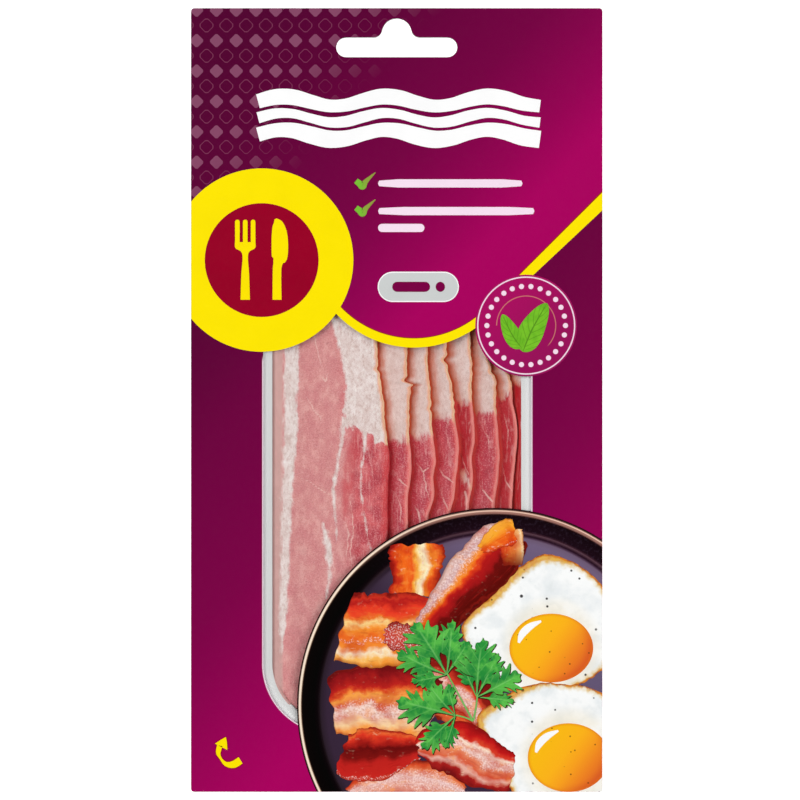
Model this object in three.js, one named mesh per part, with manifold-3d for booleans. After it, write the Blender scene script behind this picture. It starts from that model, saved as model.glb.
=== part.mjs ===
// Vacuum pack of sliced bacon, lying on its back with the printed front up.
// A formed back web with a bathtub pocket carries eight shingled slices. A clear film closes the pocket,
// and a printed sheet with a hanging slot and a shaped window lies on the film.
// Millimetres, +Z up, +Y towards the hanging slot, origin at the middle of the footprint on the table.
import * as THREE from "three";
import { mergeVertices } from "three/addons/utils/BufferGeometryUtils.js";
import Module from "manifold-3d";

const wasm = await Module();
wasm.setup();

// The flat sheets: outline, levels and thicknesses
const packWidth = 110;
const packLength = 209.5;
const packCornerRadius = 0.8;
const webThickness = 0.5;
const filmThickness = 0.25;
const printThickness = 0.25;
const sealGap = 0.3;
const flangeTop = 15;
const filmBottom = flangeTop + sealGap;
const filmTop = filmBottom + filmThickness;
const printBottom = filmTop + sealGap;

// The hanging slot: a long round-ended bar with a round bump over its middle
const slot = {
  centreY: 94.3,
  halfLength: 16.2,
  halfHeight: 2.66,
  bumpRadius: 4,
  bumpTopY: 102.05,
  filletRadius: 2.2,
};

// The pocket in the back web, measured at the flange
const pocket = {
  halfWidth: 33.35,
  lowY: -86.5,
  highY: 80,
  cornerRadius: 16,
  cornerCells: 9,
  rimRadius: 0.6,
  rimCells: 3,
  floorRadius: 5,
  floorCells: 5,
  draft: THREE.MathUtils.degToRad(8),
};

// The window in the printed sheet, and the round printed fields that bite into it
const windowEdge = { left: -35.7, right: 36, bottom: -89, cornerRadius: 18.4 };
const roundel = { x: -36.1, y: 37.4, radius: 24.5 };
const headerBand = { x: 4.6, y: 42.4, radius: 28.4 };
const badge = { x: 34.6, y: 19.9, radius: 13.6 };
const plate = { x: 26.2, y: -81.7, radius: 52.2 };

// The slices: where each one's right edge shows, from the top one down, and how they lie
const rightEdges = [-2, 4, 10.2, 16.3, 20.6, 27.2, 32, 35.2];
const firstSliceLeft = -32.6;
const sliceWidth = 30;
const sliceThickness = 1.65;
const sliceStep = 2;
const sliceTop = 14.5;
const leftDroop = { depth: 1.4, startX: -14 };
const edgeWave = { swing: 1.4, length: 108, middleY: -15, lagPerSlice: 0.2 };
const sliceGap = 0.4;
const endRoom = 1.5;
const cellsInFirstSlice = 6;
const cellsInStrip = 2;
const cellsAlong = 14;

// The clear film sags over the pocket: how far, over what width, and the grid that shows it
const filmSag = 0.4;
const sagWidth = 14;
const filmMargin = 4;
const filmOverlap = 0.5;
const filmColumns = 12;
const filmRows = 24;

// The most that a straight facet strays from an arc in an outline
const chordError = 0.03;

function arcCells(radius, sweep) {
  const facetAngle = 2 * Math.acos(1 - chordError / radius);
  return Math.max(2, Math.ceil(Math.abs(sweep) / facetAngle));
}

function arcPoints(circle, fromAngle, toAngle, cells = arcCells(circle.radius, toAngle - fromAngle)) {
  const points = [];
  for (let i = 0; i <= cells; i += 1) {
    const angle = fromAngle + ((toAngle - fromAngle) * i) / cells;
    const x = circle.x + circle.radius * Math.cos(angle);
    points.push(new THREE.Vector2(x, circle.y + circle.radius * Math.sin(angle)));
  }
  return points;
}

function angleTo(circle, point) {
  return Math.atan2(point.y - circle.y, point.x - circle.x);
}

// Where two circles cross: side 1 gives the crossing to the left of the line from a to b, -1 the right one
function crossing(a, b, side) {
  const gap = Math.hypot(b.x - a.x, b.y - a.y);
  const along = (a.radius ** 2 - b.radius ** 2 + gap ** 2) / (2 * gap);
  const aside = side * Math.sqrt(a.radius ** 2 - along ** 2);
  const ux = (b.x - a.x) / gap;
  const uy = (b.y - a.y) / gap;
  return new THREE.Vector2(a.x + ux * along - uy * aside, a.y + uy * along + ux * aside);
}

function roundedRectangle(halfWidth, lowY, highY, radius, cornerCells) {
  const corners = [
    { x: halfWidth - radius, y: highY - radius, radius },
    { x: radius - halfWidth, y: highY - radius, radius },
    { x: radius - halfWidth, y: lowY + radius, radius },
    { x: halfWidth - radius, y: lowY + radius, radius },
  ];
  return corners.flatMap((corner, i) =>
    arcPoints(corner, (i * Math.PI) / 2, ((i + 1) * Math.PI) / 2, cornerCells),
  );
}

function slotOutline() {
  const end = slot.halfLength - slot.halfHeight;
  const bump = { x: 0, y: slot.bumpTopY - slot.bumpRadius, radius: slot.bumpRadius };
  const filletY = slot.centreY + slot.halfHeight + slot.filletRadius;
  const filletX = Math.sqrt((slot.bumpRadius + slot.filletRadius) ** 2 - (filletY - bump.y) ** 2);
  const lean = Math.atan2(filletY - bump.y, filletX);
  const rightEnd = { x: end, y: slot.centreY, radius: slot.halfHeight };
  const leftEnd = { x: -end, y: slot.centreY, radius: slot.halfHeight };
  const rightFillet = { x: filletX, y: filletY, radius: slot.filletRadius };
  const leftFillet = { x: -filletX, y: filletY, radius: slot.filletRadius };
  const quarter = Math.PI / 2;
  return [
    ...arcPoints(rightEnd, -quarter, quarter),
    ...arcPoints(rightFillet, -quarter, lean - Math.PI),
    ...arcPoints(bump, lean, Math.PI - lean).slice(1, -1),
    ...arcPoints(leftFillet, -lean, -quarter),
    ...arcPoints(leftEnd, quarter, 3 * quarter),
  ];
}

// The window runs up the left side, round the roundel, the header band and the badge, down the right side,
// and back along the plate's rim to the rounded lower left corner
function windowOutline() {
  const corner = {
    x: windowEdge.left + windowEdge.cornerRadius,
    y: windowEdge.bottom + windowEdge.cornerRadius,
    radius: windowEdge.cornerRadius,
  };
  const roundelStart = -Math.acos((windowEdge.left - roundel.x) / roundel.radius);
  const roundelToBand = crossing(roundel, headerBand, -1);
  const bandToBadge = crossing(headerBand, badge, -1);
  const badgeEnd = -Math.acos((windowEdge.right - badge.x) / badge.radius);
  const plateStart = Math.acos((windowEdge.right - plate.x) / plate.radius);
  const plateToCorner = crossing(corner, plate, -1);
  const plateEnd = angleTo(plate, plateToCorner) + 2 * Math.PI;
  const cornerStart = angleTo(corner, plateToCorner);
  return [
    ...arcPoints(roundel, roundelStart, angleTo(roundel, roundelToBand)),
    ...arcPoints(headerBand, angleTo(headerBand, roundelToBand), angleTo(headerBand, bandToBadge)).slice(1),
    ...arcPoints(badge, angleTo(badge, bandToBadge), badgeEnd).slice(1),
    ...arcPoints(plate, plateStart, plateEnd),
    ...arcPoints(corner, cornerStart, -Math.PI).slice(1),
  ];
}

function sheet(outline, holes, bottom, thickness) {
  const shape = new THREE.Shape(outline);
  shape.holes = holes.map((hole) => new THREE.Path(hole));
  const geometry = new THREE.ExtrudeGeometry(shape, { depth: thickness, bevelEnabled: false });
  return geometry.translate(0, 0, bottom);
}

function toSolid(geometry) {
  const bare = new THREE.BufferGeometry();
  bare.setAttribute("position", geometry.getAttribute("position"));
  bare.setIndex(geometry.getIndex());
  const merged = mergeVertices(bare, 1e-4);
  return new wasm.Manifold(
    new wasm.Mesh({
      numProp: 3,
      vertProperties: new Float32Array(merged.attributes.position.array),
      triVerts: new Uint32Array(merged.index.array),
    }),
  );
}

function toGeometry(solid) {
  const mesh = solid.getMesh();
  const geometry = new THREE.BufferGeometry();
  geometry.setAttribute("position", new THREE.BufferAttribute(mesh.vertProperties, 3));
  geometry.setIndex(new THREE.BufferAttribute(mesh.triVerts, 1));
  return geometry;
}

// A closed solid through rings of equal length, from the top ring down, with a fan over each end
function loft(rings) {
  const count = rings[0].length;
  const positions = rings.flat().flatMap((p) => [p.x, p.y, p.z]);
  const indices = [];
  for (let r = 0; r < rings.length - 1; r += 1) {
    for (let i = 0; i < count; i += 1) {
      const a = r * count + i;
      const b = r * count + ((i + 1) % count);
      indices.push(a, a + count, b, b, a + count, b + count);
    }
  }
  const fan = (ring, first, facesUp) => {
    const hub = positions.length / 3;
    const middle = ring.reduce((sum, p) => sum.add(p), new THREE.Vector3()).divideScalar(count);
    positions.push(middle.x, middle.y, middle.z);
    for (let i = 0; i < count; i += 1) {
      const a = first + i;
      const b = first + ((i + 1) % count);
      indices.push(hub, facesUp ? a : b, facesUp ? b : a);
    }
  };
  fan(rings[0], 0, true);
  fan(rings[rings.length - 1], (rings.length - 1) * count, false);
  const geometry = new THREE.BufferGeometry();
  geometry.setAttribute("position", new THREE.Float32BufferAttribute(positions, 3));
  geometry.setIndex(indices);
  return geometry;
}

// The pocket's wall as pairs of inset and height, from the rim down to the floor. The wall is moved towards
// the inside of the pocket by a given amount, so one profile serves the inner face, the outer face and the
// space that the slices keep to.
function pocketProfile(inwards) {
  const { draft } = pocket;
  const profile = [];
  for (let i = 0; i <= pocket.rimCells; i += 1) {
    const turn = (i / pocket.rimCells) * (Math.PI / 2 - draft);
    profile.push({
      inset: pocket.rimRadius * Math.sin(turn) + inwards * Math.sin(turn),
      height: flangeTop - pocket.rimRadius * (1 - Math.cos(turn)) + inwards * Math.cos(turn),
    });
  }
  const rimEnd = pocket.rimRadius * Math.cos(draft);
  const drop = flangeTop - webThickness - pocket.rimRadius * (1 - Math.sin(draft));
  const wallDrop = drop - pocket.floorRadius * (1 - Math.sin(draft));
  const arcStart = rimEnd + wallDrop * Math.tan(draft);
  const arc = pocket.floorRadius - inwards;
  const hubInset = arcStart + pocket.floorRadius * Math.cos(draft);
  const hubHeight = webThickness + pocket.floorRadius;
  for (let i = 0; i <= pocket.floorCells; i += 1) {
    const turn = draft + (i / pocket.floorCells) * (Math.PI / 2 - draft);
    profile.push({
      inset: hubInset - arc * Math.cos(turn),
      height: hubHeight - arc * Math.sin(turn),
    });
  }
  return profile;
}

function pocketRing({ inset, height }) {
  const outline = roundedRectangle(
    pocket.halfWidth - inset,
    pocket.lowY + inset,
    pocket.highY - inset,
    pocket.cornerRadius - inset,
    pocket.cornerCells,
  );
  return outline.map((p) => new THREE.Vector3(p.x, p.y, height));
}

function pocketSolid(inwards, topHeight) {
  const profile = pocketProfile(inwards).filter((point) => point.height < topHeight);
  return toSolid(loft([{ inset: profile[0].inset, height: topHeight }, ...profile].map(pocketRing)));
}

function backWeb() {
  const flange = toSolid(sheet(packOutline(), [slotOutline()], flangeTop - webThickness, webThickness));
  const outside = pocketSolid(-webThickness, flangeTop - webThickness / 2);
  const inside = pocketSolid(0, flangeTop + webThickness);
  return toGeometry(flange.add(outside).subtract(inside));
}

function packOutline() {
  return roundedRectangle(packWidth / 2, -packLength / 2, packLength / 2, packCornerRadius);
}

function rightEdgeAt(index, y) {
  const turn = (2 * Math.PI * (y - edgeWave.middleY)) / edgeWave.length;
  const wave = Math.cos(turn + index * edgeWave.lagPerSlice) - 1;
  return rightEdges[index] + edgeWave.swing * wave;
}

// How many slices down the one is that shows at x, with the top slice as 0. It rises from one slice's right
// edge to the next, fast at first, so that each strip that shows is crowned.
function stackDepth(x, y) {
  if (x <= rightEdgeAt(0, y)) return 0;
  for (let i = 1; i < rightEdges.length; i += 1) {
    const from = rightEdgeAt(i - 1, y);
    const to = rightEdgeAt(i, y);
    if (x < to) return i - 1 + Math.sin(((x - from) / (to - from)) * (Math.PI / 2));
  }
  return rightEdges.length - 1;
}

function sliceHeight(index, x, y) {
  const leftness = THREE.MathUtils.smoothstep(-x, -leftDroop.startX, -firstSliceLeft);
  return sliceTop - sliceStep * (index - stackDepth(x, y)) - leftDroop.depth * leftness;
}

// The places across the pile where its face is worked out at y: evenly over the top slice, then a few in
// each strip that shows. All slices share them, so that no slice cuts into the next one.
function pileColumns(y) {
  const first = rightEdgeAt(0, y);
  const columns = [];
  for (let i = 0; i < cellsInFirstSlice; i += 1) {
    columns.push(firstSliceLeft + ((first - firstSliceLeft) * i) / cellsInFirstSlice);
  }
  for (let i = 1; i < rightEdges.length; i += 1) {
    const from = rightEdgeAt(i - 1, y);
    const to = rightEdgeAt(i, y);
    for (let k = 0; k < cellsInStrip; k += 1) columns.push(from + ((to - from) * k) / cellsInStrip);
  }
  columns.push(rightEdgeAt(rightEdges.length - 1, y));
  return columns;
}

// A closed slab between two height functions, over rows of columns that may wander with y
function slab({ columnsAt, lowY, highY, along, topAt, bottomAt }) {
  const columns = columnsAt(lowY).length;
  const rows = along + 1;
  const positions = [];
  for (const heightAt of [topAt, bottomAt]) {
    for (let j = 0; j < rows; j += 1) {
      const y = lowY + ((highY - lowY) * j) / along;
      for (const x of columnsAt(y)) positions.push(x, y, heightAt(x, y));
    }
  }
  const across = columns - 1;
  const under = columns * rows;
  const indices = [];
  for (let j = 0; j < along; j += 1) {
    for (let i = 0; i < across; i += 1) {
      const a = j * columns + i;
      const c = a + columns;
      indices.push(a, a + 1, c, c, a + 1, c + 1);
      indices.push(under + a, under + c, under + a + 1, under + c, under + c + 1, under + a + 1);
    }
  }
  const wall = (a, b) => indices.push(a, a + under, b, b, a + under, b + under);
  for (let i = 0; i < across; i += 1) {
    wall(i, i + 1);
    wall(along * columns + i + 1, along * columns + i);
  }
  for (let j = 0; j < along; j += 1) {
    wall((j + 1) * columns, j * columns);
    wall(j * columns + across, (j + 1) * columns + across);
  }
  const geometry = new THREE.BufferGeometry();
  geometry.setAttribute("position", new THREE.Float32BufferAttribute(positions, 3));
  geometry.setIndex(indices);
  return geometry;
}

function slice(index, room) {
  const last = cellsInFirstSlice + cellsInStrip * index;
  const nominal = pileColumns(edgeWave.middleY);
  const first = index === 0 ? 0 : nominal.findIndex((x) => x > nominal[last] - sliceWidth);
  const topAt = (x, y) => sliceHeight(index, x, y);
  const geometry = slab({
    columnsAt: (y) => pileColumns(y).slice(first, last + 1),
    lowY: pocket.lowY + endRoom,
    highY: pocket.highY - endRoom,
    along: cellsAlong,
    topAt,
    bottomAt: (x, y) => topAt(x, y) - sliceThickness,
  });
  return toGeometry(toSolid(geometry).intersect(room));
}

// The clear film is flat where it is sealed to the flange, and sags a little over the pocket
function clearFilm() {
  const halfWidth = pocket.halfWidth - filmMargin;
  const lowY = pocket.lowY + filmMargin;
  const highY = pocket.highY - filmMargin;
  const opening = roundedRectangle(halfWidth, lowY, highY, filmOverlap);
  const flat = toSolid(sheet(packOutline(), [slotOutline(), opening], filmBottom, filmThickness));
  const sagAt = (x, y) => {
    const side = Math.min(halfWidth - Math.abs(x), y - lowY, highY - y);
    return filmSag * THREE.MathUtils.smoothstep(side, 0, sagWidth);
  };
  const left = -halfWidth - filmOverlap;
  const columns = [];
  for (let i = 0; i <= filmColumns; i += 1) columns.push(left - (2 * left * i) / filmColumns);
  const middle = slab({
    columnsAt: () => columns,
    lowY: lowY - filmOverlap,
    highY: highY + filmOverlap,
    along: filmRows,
    topAt: (x, y) => filmTop - sagAt(x, y),
    bottomAt: (x, y) => filmBottom - sagAt(x, y),
  });
  return toGeometry(flat.add(toSolid(middle)));
}

function printedSheet() {
  return sheet(packOutline(), [slotOutline(), windowOutline()], printBottom, printThickness);
}

function part(name, geometry, material) {
  const mesh = new THREE.Mesh(geometry, material);
  mesh.name = name;
  return mesh;
}

const greyWeb = new THREE.MeshStandardMaterial({ color: 0xd2d6d4, roughness: 0.45, metalness: 0 });
const clearPlastic = new THREE.MeshStandardMaterial({
  color: 0xf4f6f6,
  roughness: 0.12,
  metalness: 0,
  transparent: true,
  opacity: 0.2,
});
const purplePrint = new THREE.MeshStandardMaterial({ color: 0x82004e, roughness: 0.35, metalness: 0 });
const bacon = new THREE.MeshStandardMaterial({ color: 0xcf7d7c, roughness: 0.4, metalness: 0 });

const pack = new THREE.Group();
pack.add(part("back_web", backWeb(), greyWeb));
const room = pocketSolid(sliceGap, flangeTop - sliceGap);
for (let i = 0; i < rightEdges.length; i += 1) pack.add(part(`slice_${i + 1}`, slice(i, room), bacon));
pack.add(part("clear_film", clearFilm(), clearPlastic));
pack.add(part("printed_sheet", printedSheet(), purplePrint));

export default pack;
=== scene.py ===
import bpy
import bmesh
import math
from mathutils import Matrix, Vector, noise


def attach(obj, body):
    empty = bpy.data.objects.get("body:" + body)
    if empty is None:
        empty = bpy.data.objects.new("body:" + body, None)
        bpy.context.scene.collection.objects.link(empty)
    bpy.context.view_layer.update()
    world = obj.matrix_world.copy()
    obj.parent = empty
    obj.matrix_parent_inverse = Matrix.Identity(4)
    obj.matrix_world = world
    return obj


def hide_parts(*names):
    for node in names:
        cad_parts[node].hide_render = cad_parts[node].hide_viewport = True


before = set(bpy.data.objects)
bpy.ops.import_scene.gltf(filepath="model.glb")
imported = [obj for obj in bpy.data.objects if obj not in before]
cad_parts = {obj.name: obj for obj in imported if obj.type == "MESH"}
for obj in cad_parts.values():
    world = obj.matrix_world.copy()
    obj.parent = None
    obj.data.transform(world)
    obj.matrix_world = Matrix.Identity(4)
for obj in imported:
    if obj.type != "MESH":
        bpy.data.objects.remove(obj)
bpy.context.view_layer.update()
mm = 0.001


# Small helpers for numbers and colours
def ink(red, green, blue):  # a screen colour as Blender's linear colour
    def linear(level):
        share = level / 255
        return share / 12.92 if share <= 0.04045 else ((share + 0.055) / 1.055) ** 2.4
    return (linear(red), linear(green), linear(blue), 1.0)


def clamp(value, low=0.0, high=1.0):
    return max(low, min(high, value))


def smoothStep(low, high, value):
    share = clamp((value - low) / (high - low))
    return share * share * (3 - 2 * share)


def alongPoints(points, share):  # a smooth run through points of any length, at a share from 0 to 1
    place = clamp(share) * (len(points) - 1)
    first = min(int(place), len(points) - 2)
    part = place - first
    before, start, end, after = [points[clamp(first + step, 0, len(points) - 1)] for step in (-1, 0, 1, 2)]
    result = []
    for p, a, b, q in zip(before, start, end, after):
        bend = (2 * p - 5 * a + 4 * b - q) * part ** 2 + (3 * a - p - 3 * b + q) * part ** 3
        result.append(a + 0.5 * ((b - p) * part + bend))
    return result


def wobble(x, y, size, seed):  # smooth noise from -1 to 1
    return noise.noise(Vector((x / size, y / size, seed * 7.3)))


def flat(x, y):  # a spot on a flat field, from mm
    return Vector((x * mm, y * mm, 0))


def moved(points, x, y):  # the same strip at another place
    return [(pointX + x, pointY + y, half) for pointX, pointY, half in points]


# Shader maths
def mathsNode(operation, swapped=False):  # a Math node as a method of Wire
    def method(self, *others):
        values = (self, *others)
        return self.maths(operation, *(values[::-1] if swapped else values))
    return method


class Wire:
    def __init__(self, finish, socket):
        self.finish = finish
        self.socket = socket

    def maths(self, operation, *values):
        return self.finish.node("ShaderNodeMath", {"operation": operation}, dict(enumerate(values)))

    __add__ = mathsNode("ADD")
    __radd__ = mathsNode("ADD", True)
    __sub__ = mathsNode("SUBTRACT")
    __rsub__ = mathsNode("SUBTRACT", True)
    __mul__ = mathsNode("MULTIPLY")
    __rmul__ = mathsNode("MULTIPLY", True)
    __truediv__ = mathsNode("DIVIDE")
    __pow__ = mathsNode("POWER")
    __abs__ = mathsNode("ABSOLUTE")
    sine = mathsNode("SINE")
    cosine = mathsNode("COSINE")
    most = mathsNode("MAXIMUM")

    def cell(self, pitch):  # the offset from the nearest line of a row with this pitch
        return self.maths("WRAP", self, pitch / 2, -pitch / 2)

    def rise(self, low, high):  # 0 below low and 1 above high
        settings = {"interpolation_type": "SMOOTHSTEP"}
        return self.finish.node("ShaderNodeMapRange", settings, {0: self, 1: low, 2: high})

    def fall(self, low, high):  # 1 below low and 0 above high
        return 1 - self.rise(low, high)

    def ramp(self, stops, low=0, high=1):  # screen colours at places from low to high
        settings = {"stops": [((place - low) / (high - low), ink(*tone)) for place, *tone in stops]}
        return self.finish.node("ShaderNodeValToRGB", settings, {0: (self - low) / (high - low)})


class Finish:
    def __init__(self, name, world=None):
        self.material = world or bpy.data.materials.new(name)
        self.material.use_nodes = True
        self.tree = self.material.node_tree
        self.tree.nodes.clear()

    def node(self, kind, settings, values, output=0):
        made = self.tree.nodes.new(kind)
        for key, value in settings.items():
            if key == "stops":
                self.setStops(made.color_ramp.elements, value)
            else:
                setattr(made, key, value)
        for key, value in values.items():
            if isinstance(value, Wire):
                self.tree.links.new(value.socket, made.inputs[key])
            else:
                made.inputs[key].default_value = value
        return Wire(self, made.outputs[output]) if made.outputs else None

    def setStops(self, elements, stops):
        for place, colour in stops[1:-1]:
            elements.new(place).color = colour
        elements[0].color = stops[0][1]
        elements[-1].color = stops[-1][1]
        elements[0].position = stops[0][0]
        elements[-1].position = stops[-1][0]

    def place(self):  # the spot on the object, in metres
        return self.node("ShaderNodeTexCoord", {}, {}, "Object")

    def axes(self, centreX=0.0, centreY=0.0):  # x and y in millimetres from a centre
        spot = self.place()
        x = self.node("ShaderNodeSeparateXYZ", {}, {0: spot}, "X") * 1000 - centreX
        y = self.node("ShaderNodeSeparateXYZ", {}, {0: spot}, "Y") * 1000 - centreY
        return x, y

    def run(self):  # the run along and across a strip, from 0 to 1
        uv = self.node("ShaderNodeUVMap", {}, {})
        return [self.node("ShaderNodeSeparateXYZ", {}, {0: uv}, axis) for axis in ("X", "Y")]

    def fact(self, name):  # a value stored on the mesh
        return self.node("ShaderNodeAttribute", {"attribute_name": name}, {}, "Fac")

    def noiseOn(self, vector, shift, stretch, values):
        spot = self.node("ShaderNodeMapping", {}, {"Vector": vector, "Location": (shift,) * 3, "Scale": stretch})
        return self.node("ShaderNodeTexNoise", {}, {"Vector": spot, **values})

    def grain(self, size, detail=3.0, stretch=(1, 1, 1), shift=0.0, roughness=0.5):  # noise of a size in mm
        values = {"Scale": 1000 / size, "Detail": detail, "Roughness": roughness}
        return self.noiseOn(self.place(), shift, stretch, values)

    def weave(self, alongCells, acrossCells, shift=0.0):  # noise drawn out along a strip
        uv = self.node("ShaderNodeUVMap", {}, {})
        return self.noiseOn(uv, shift, (alongCells, acrossCells, 1), {"Scale": 1.0, "Detail": 4.0, "Roughness": 0.6})

    def outside(self, x, y, half, low, radius):  # how far outside a tall window with round lower corners
        dx = (abs(x) - (half - radius)).most(0)
        dy = ((low + radius) - y).most(0)
        return (dx * dx + dy * dy) ** 0.5 - radius

    def specks(self, spacing, radius, share):  # scattered round spots
        values = {"Vector": self.place(), "Scale": 1000 / spacing}
        gap = self.node("ShaderNodeTexVoronoi", {}, values, "Distance") * spacing
        colour = self.node("ShaderNodeTexVoronoi", {}, values, "Color")
        chance = self.node("ShaderNodeSeparateXYZ", {}, {0: colour}, "X")
        return gap.fall(radius * 0.6, radius) * chance.fall(share, share + 0.02)

    def mix(self, share, first, second):
        return self.node("ShaderNodeMix", {"data_type": "RGBA"}, {0: share, 6: first, 7: second}, 2)

    def over(self, base, *layers):  # screen colours laid over a base, each by its share
        for share, *tone in layers:
            base = self.mix(share, base, ink(*tone))
        return base

    def green(self, colour):  # how strong the green of a colour is
        return self.node("ShaderNodeSeparateColor", {}, {0: colour}, "Green")

    def bump(self, height, depth, strength=1.0):  # height from 0 to 1, depth in mm
        return self.node("ShaderNodeBump", {}, {"Height": height, "Distance": depth * mm, "Strength": strength})

    def close(self, values):  # the values of the Principled shader's sockets
        made = self.node("ShaderNodeBsdfPrincipled", {}, values)
        self.node("ShaderNodeOutputMaterial", {}, {"Surface": made})
        return self.material

    def inked(self, base, roughness=None):  # closes a printed colour
        sheen = roughness or 0.2 + self.grain(1.2, 2) * 0.08
        return self.close({"Base Color": base, "Roughness": sheen, "Specular IOR Level": 0.3})


# Small helpers for meshes
def pick(piece):
    bpy.ops.object.select_all(action="DESELECT")
    piece.select_set(True)
    bpy.context.view_layer.objects.active = piece


def openMesh(piece):
    pick(piece)
    bpy.ops.object.mode_set(mode="EDIT")
    bpy.ops.mesh.select_all(action="SELECT")


def closeMesh():
    bpy.ops.object.mode_set(mode="OBJECT")


def weld(piece, gap):
    openMesh(piece)
    bpy.ops.mesh.remove_doubles(threshold=gap * mm)
    closeMesh()


def faceOutwards(piece):
    openMesh(piece)
    bpy.ops.mesh.normals_make_consistent(inside=False)
    closeMesh()


def storeFacts(piece, facts):  # values on the mesh that its finish reads
    for name, values in facts.items():
        piece.data.attributes.new(name, "FLOAT", "POINT").data.foreach_set("value", values)


def dress(piece, name, material, slotName, *nodes):
    piece.name = name
    piece.data.name = name
    piece.data.materials.clear()
    piece.data.materials.append(material)
    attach(piece, "root")
    if nodes:
        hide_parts(*nodes)
    return piece


def copyNode(node):  # a CAD node's mesh as one merged copy
    pick(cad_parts[node])
    bpy.ops.object.duplicate()
    piece = bpy.context.object
    weld(piece, 0.002)
    return piece


def addPatch(place, cells):  # a grid whose corners run from 0 to 1 along and across, set by place
    bpy.ops.object.select_all(action="DESELECT")
    bpy.ops.mesh.primitive_grid_add(x_subdivisions=cells[0], y_subdivisions=cells[1], size=1)
    piece = bpy.context.object
    for vertex in piece.data.vertices:
        vertex.co = place(vertex.co.x + 0.5, vertex.co.y + 0.5)
    return piece


def addDisc(centre, reachAt, vertices):  # a flat filled shape round a centre, in mm
    bpy.ops.object.select_all(action="DESELECT")
    bpy.ops.mesh.primitive_circle_add(vertices=vertices, radius=1, fill_type="NGON")
    piece = bpy.context.object
    for vertex in piece.data.vertices:
        turn = math.atan2(vertex.co.y, vertex.co.x)
        reach = reachAt(turn)
        vertex.co = flat(centre[0] + reach * math.cos(turn), centre[1] + reach * math.sin(turn))
    return piece


# The print lies on the sheet in layers
sheet = {"halfWidth": 55.0, "halfLength": 104.75, "base": 15.93, "step": 0.025, "thickness": 0.02, "inset": 0.05}


def trim(piece):  # cuts a printed field off at the pack's edges
    openMesh(piece)
    for axis, reach in ((0, sheet["halfWidth"]), (1, sheet["halfLength"])):
        for side in (-1, 1):
            spot = [0, 0, 0]
            normal = [0, 0, 0]
            spot[axis] = side * (reach - sheet["inset"]) * mm
            normal[axis] = side
            bpy.ops.mesh.select_all(action="SELECT")
            bpy.ops.mesh.bisect(plane_co=spot, plane_no=normal, clear_outer=True)
    closeMesh()


def layField(piece, name, layer, material):  # lays a flat field on the sheet as a thin film of ink
    trim(piece)
    if piece.data.polygons[0].normal.z < 0:
        piece.data.flip_normals()
    piece.location.z = (sheet["base"] + sheet["step"] * layer) * mm
    body = piece.modifiers.new("thickness", "SOLIDIFY")
    body.thickness = sheet["thickness"] * mm
    body.offset = -1
    pick(piece)
    bpy.ops.object.modifier_apply(modifier=body.name)
    bpy.ops.object.transform_apply(location=True, rotation=True, scale=True)
    faceOutwards(piece)
    return dress(piece, name, material, "printed_sheet")


def printed(name, colour, shade=0.06):  # a plain printed colour with the slight unevenness of ink
    finish = Finish(name)
    tone = finish.grain(9, 4)
    darker = tuple(level * (1 - shade) for level in colour[:3]) + (1.0,)
    return finish.inked(finish.mix(tone.rise(0.35, 0.7), colour, darker))


# Back web with its pocket
web = {
    "light": ink(210, 212, 212), "dark": ink(203, 205, 205), "smoothAngle": 30,
    # flange colours out from the pocket's edge: painted light, whitest under the sheet's window edge where the sheet
    # casts shade
    "paintedLightStops": (
        (0, 224, 224, 223), (0.9, 228, 229, 228), (1.4, 240, 241, 240), (1.8, 254, 254, 254), (2.4, 255, 255, 255),
    ),
}
pocket = {
    "halfWidth": 33.35, "lowY": -86.5, "highY": 80, "cornerRadius": 16, "rim": 0.6, "wallTop": 14.4,
    "slope": math.tan(math.radians(8)), "floor": 0.5, "floorRadius": 5, "arcTop": 4.8, "gap": 0.06,
}


def webFinish():
    finish = Finish("satinWeb")
    cloud = finish.grain(14, 4)
    fine = finish.grain(0.6, 2)
    height = finish.node("ShaderNodeSeparateXYZ", {}, {0: finish.place()}, "Z") * 1000
    base = finish.mix(cloud.rise(0.35, 0.7), web["light"], web["dark"])
    x, y = finish.axes()
    gap = finish.outside(x, y, pocket["halfWidth"], pocket["lowY"], pocket["cornerRadius"])
    # painted light: the flange's top is painted near-white against the shade that the printed sheet's edge casts on
    # it
    rim = gap.ramp(web["paintedLightStops"], 0, web["paintedLightStops"][-1][0])
    base = finish.mix(height.rise(14.5, 14.9), base, rim)
    return finish.close({
        "Base Color": base,
        "Roughness": 0.36 + cloud * 0.12,
        "Normal": finish.bump(fine, 0.02, 0.5),
    })


def makeWeb():
    piece = copyNode("back_web")
    bpy.ops.object.shade_smooth_by_angle(angle=math.radians(web["smoothAngle"]))
    return dress(piece, "backWeb", webFinish(), "back_web", "back_web")


# Clear film over the slices
film = {"smoothAngle": 25}


def filmFinish():
    finish = Finish("clearFilm")
    ripple = finish.grain(11, 3, (1, 0.5, 1))
    gloss = finish.node("ShaderNodeLayerWeight", {}, {"Blend": 0.3}, "Fresnel")
    return finish.close({
        "Base Color": finish.mix(ripple, (0.3, 0.3, 0.3, 1), (0.4, 0.4, 0.4, 1)),
        "Roughness": 0.06 + ripple * 0.06,
        "Alpha": gloss * 0.2,
        "Normal": finish.bump(ripple, 0.4),
    })


def makeFilm():
    piece = copyNode("clear_film")
    bpy.ops.object.shade_smooth_by_angle(angle=math.radians(film["smoothAngle"]))
    return dress(piece, "windowFilm", filmFinish(), "clear_film", "clear_film")


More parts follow.
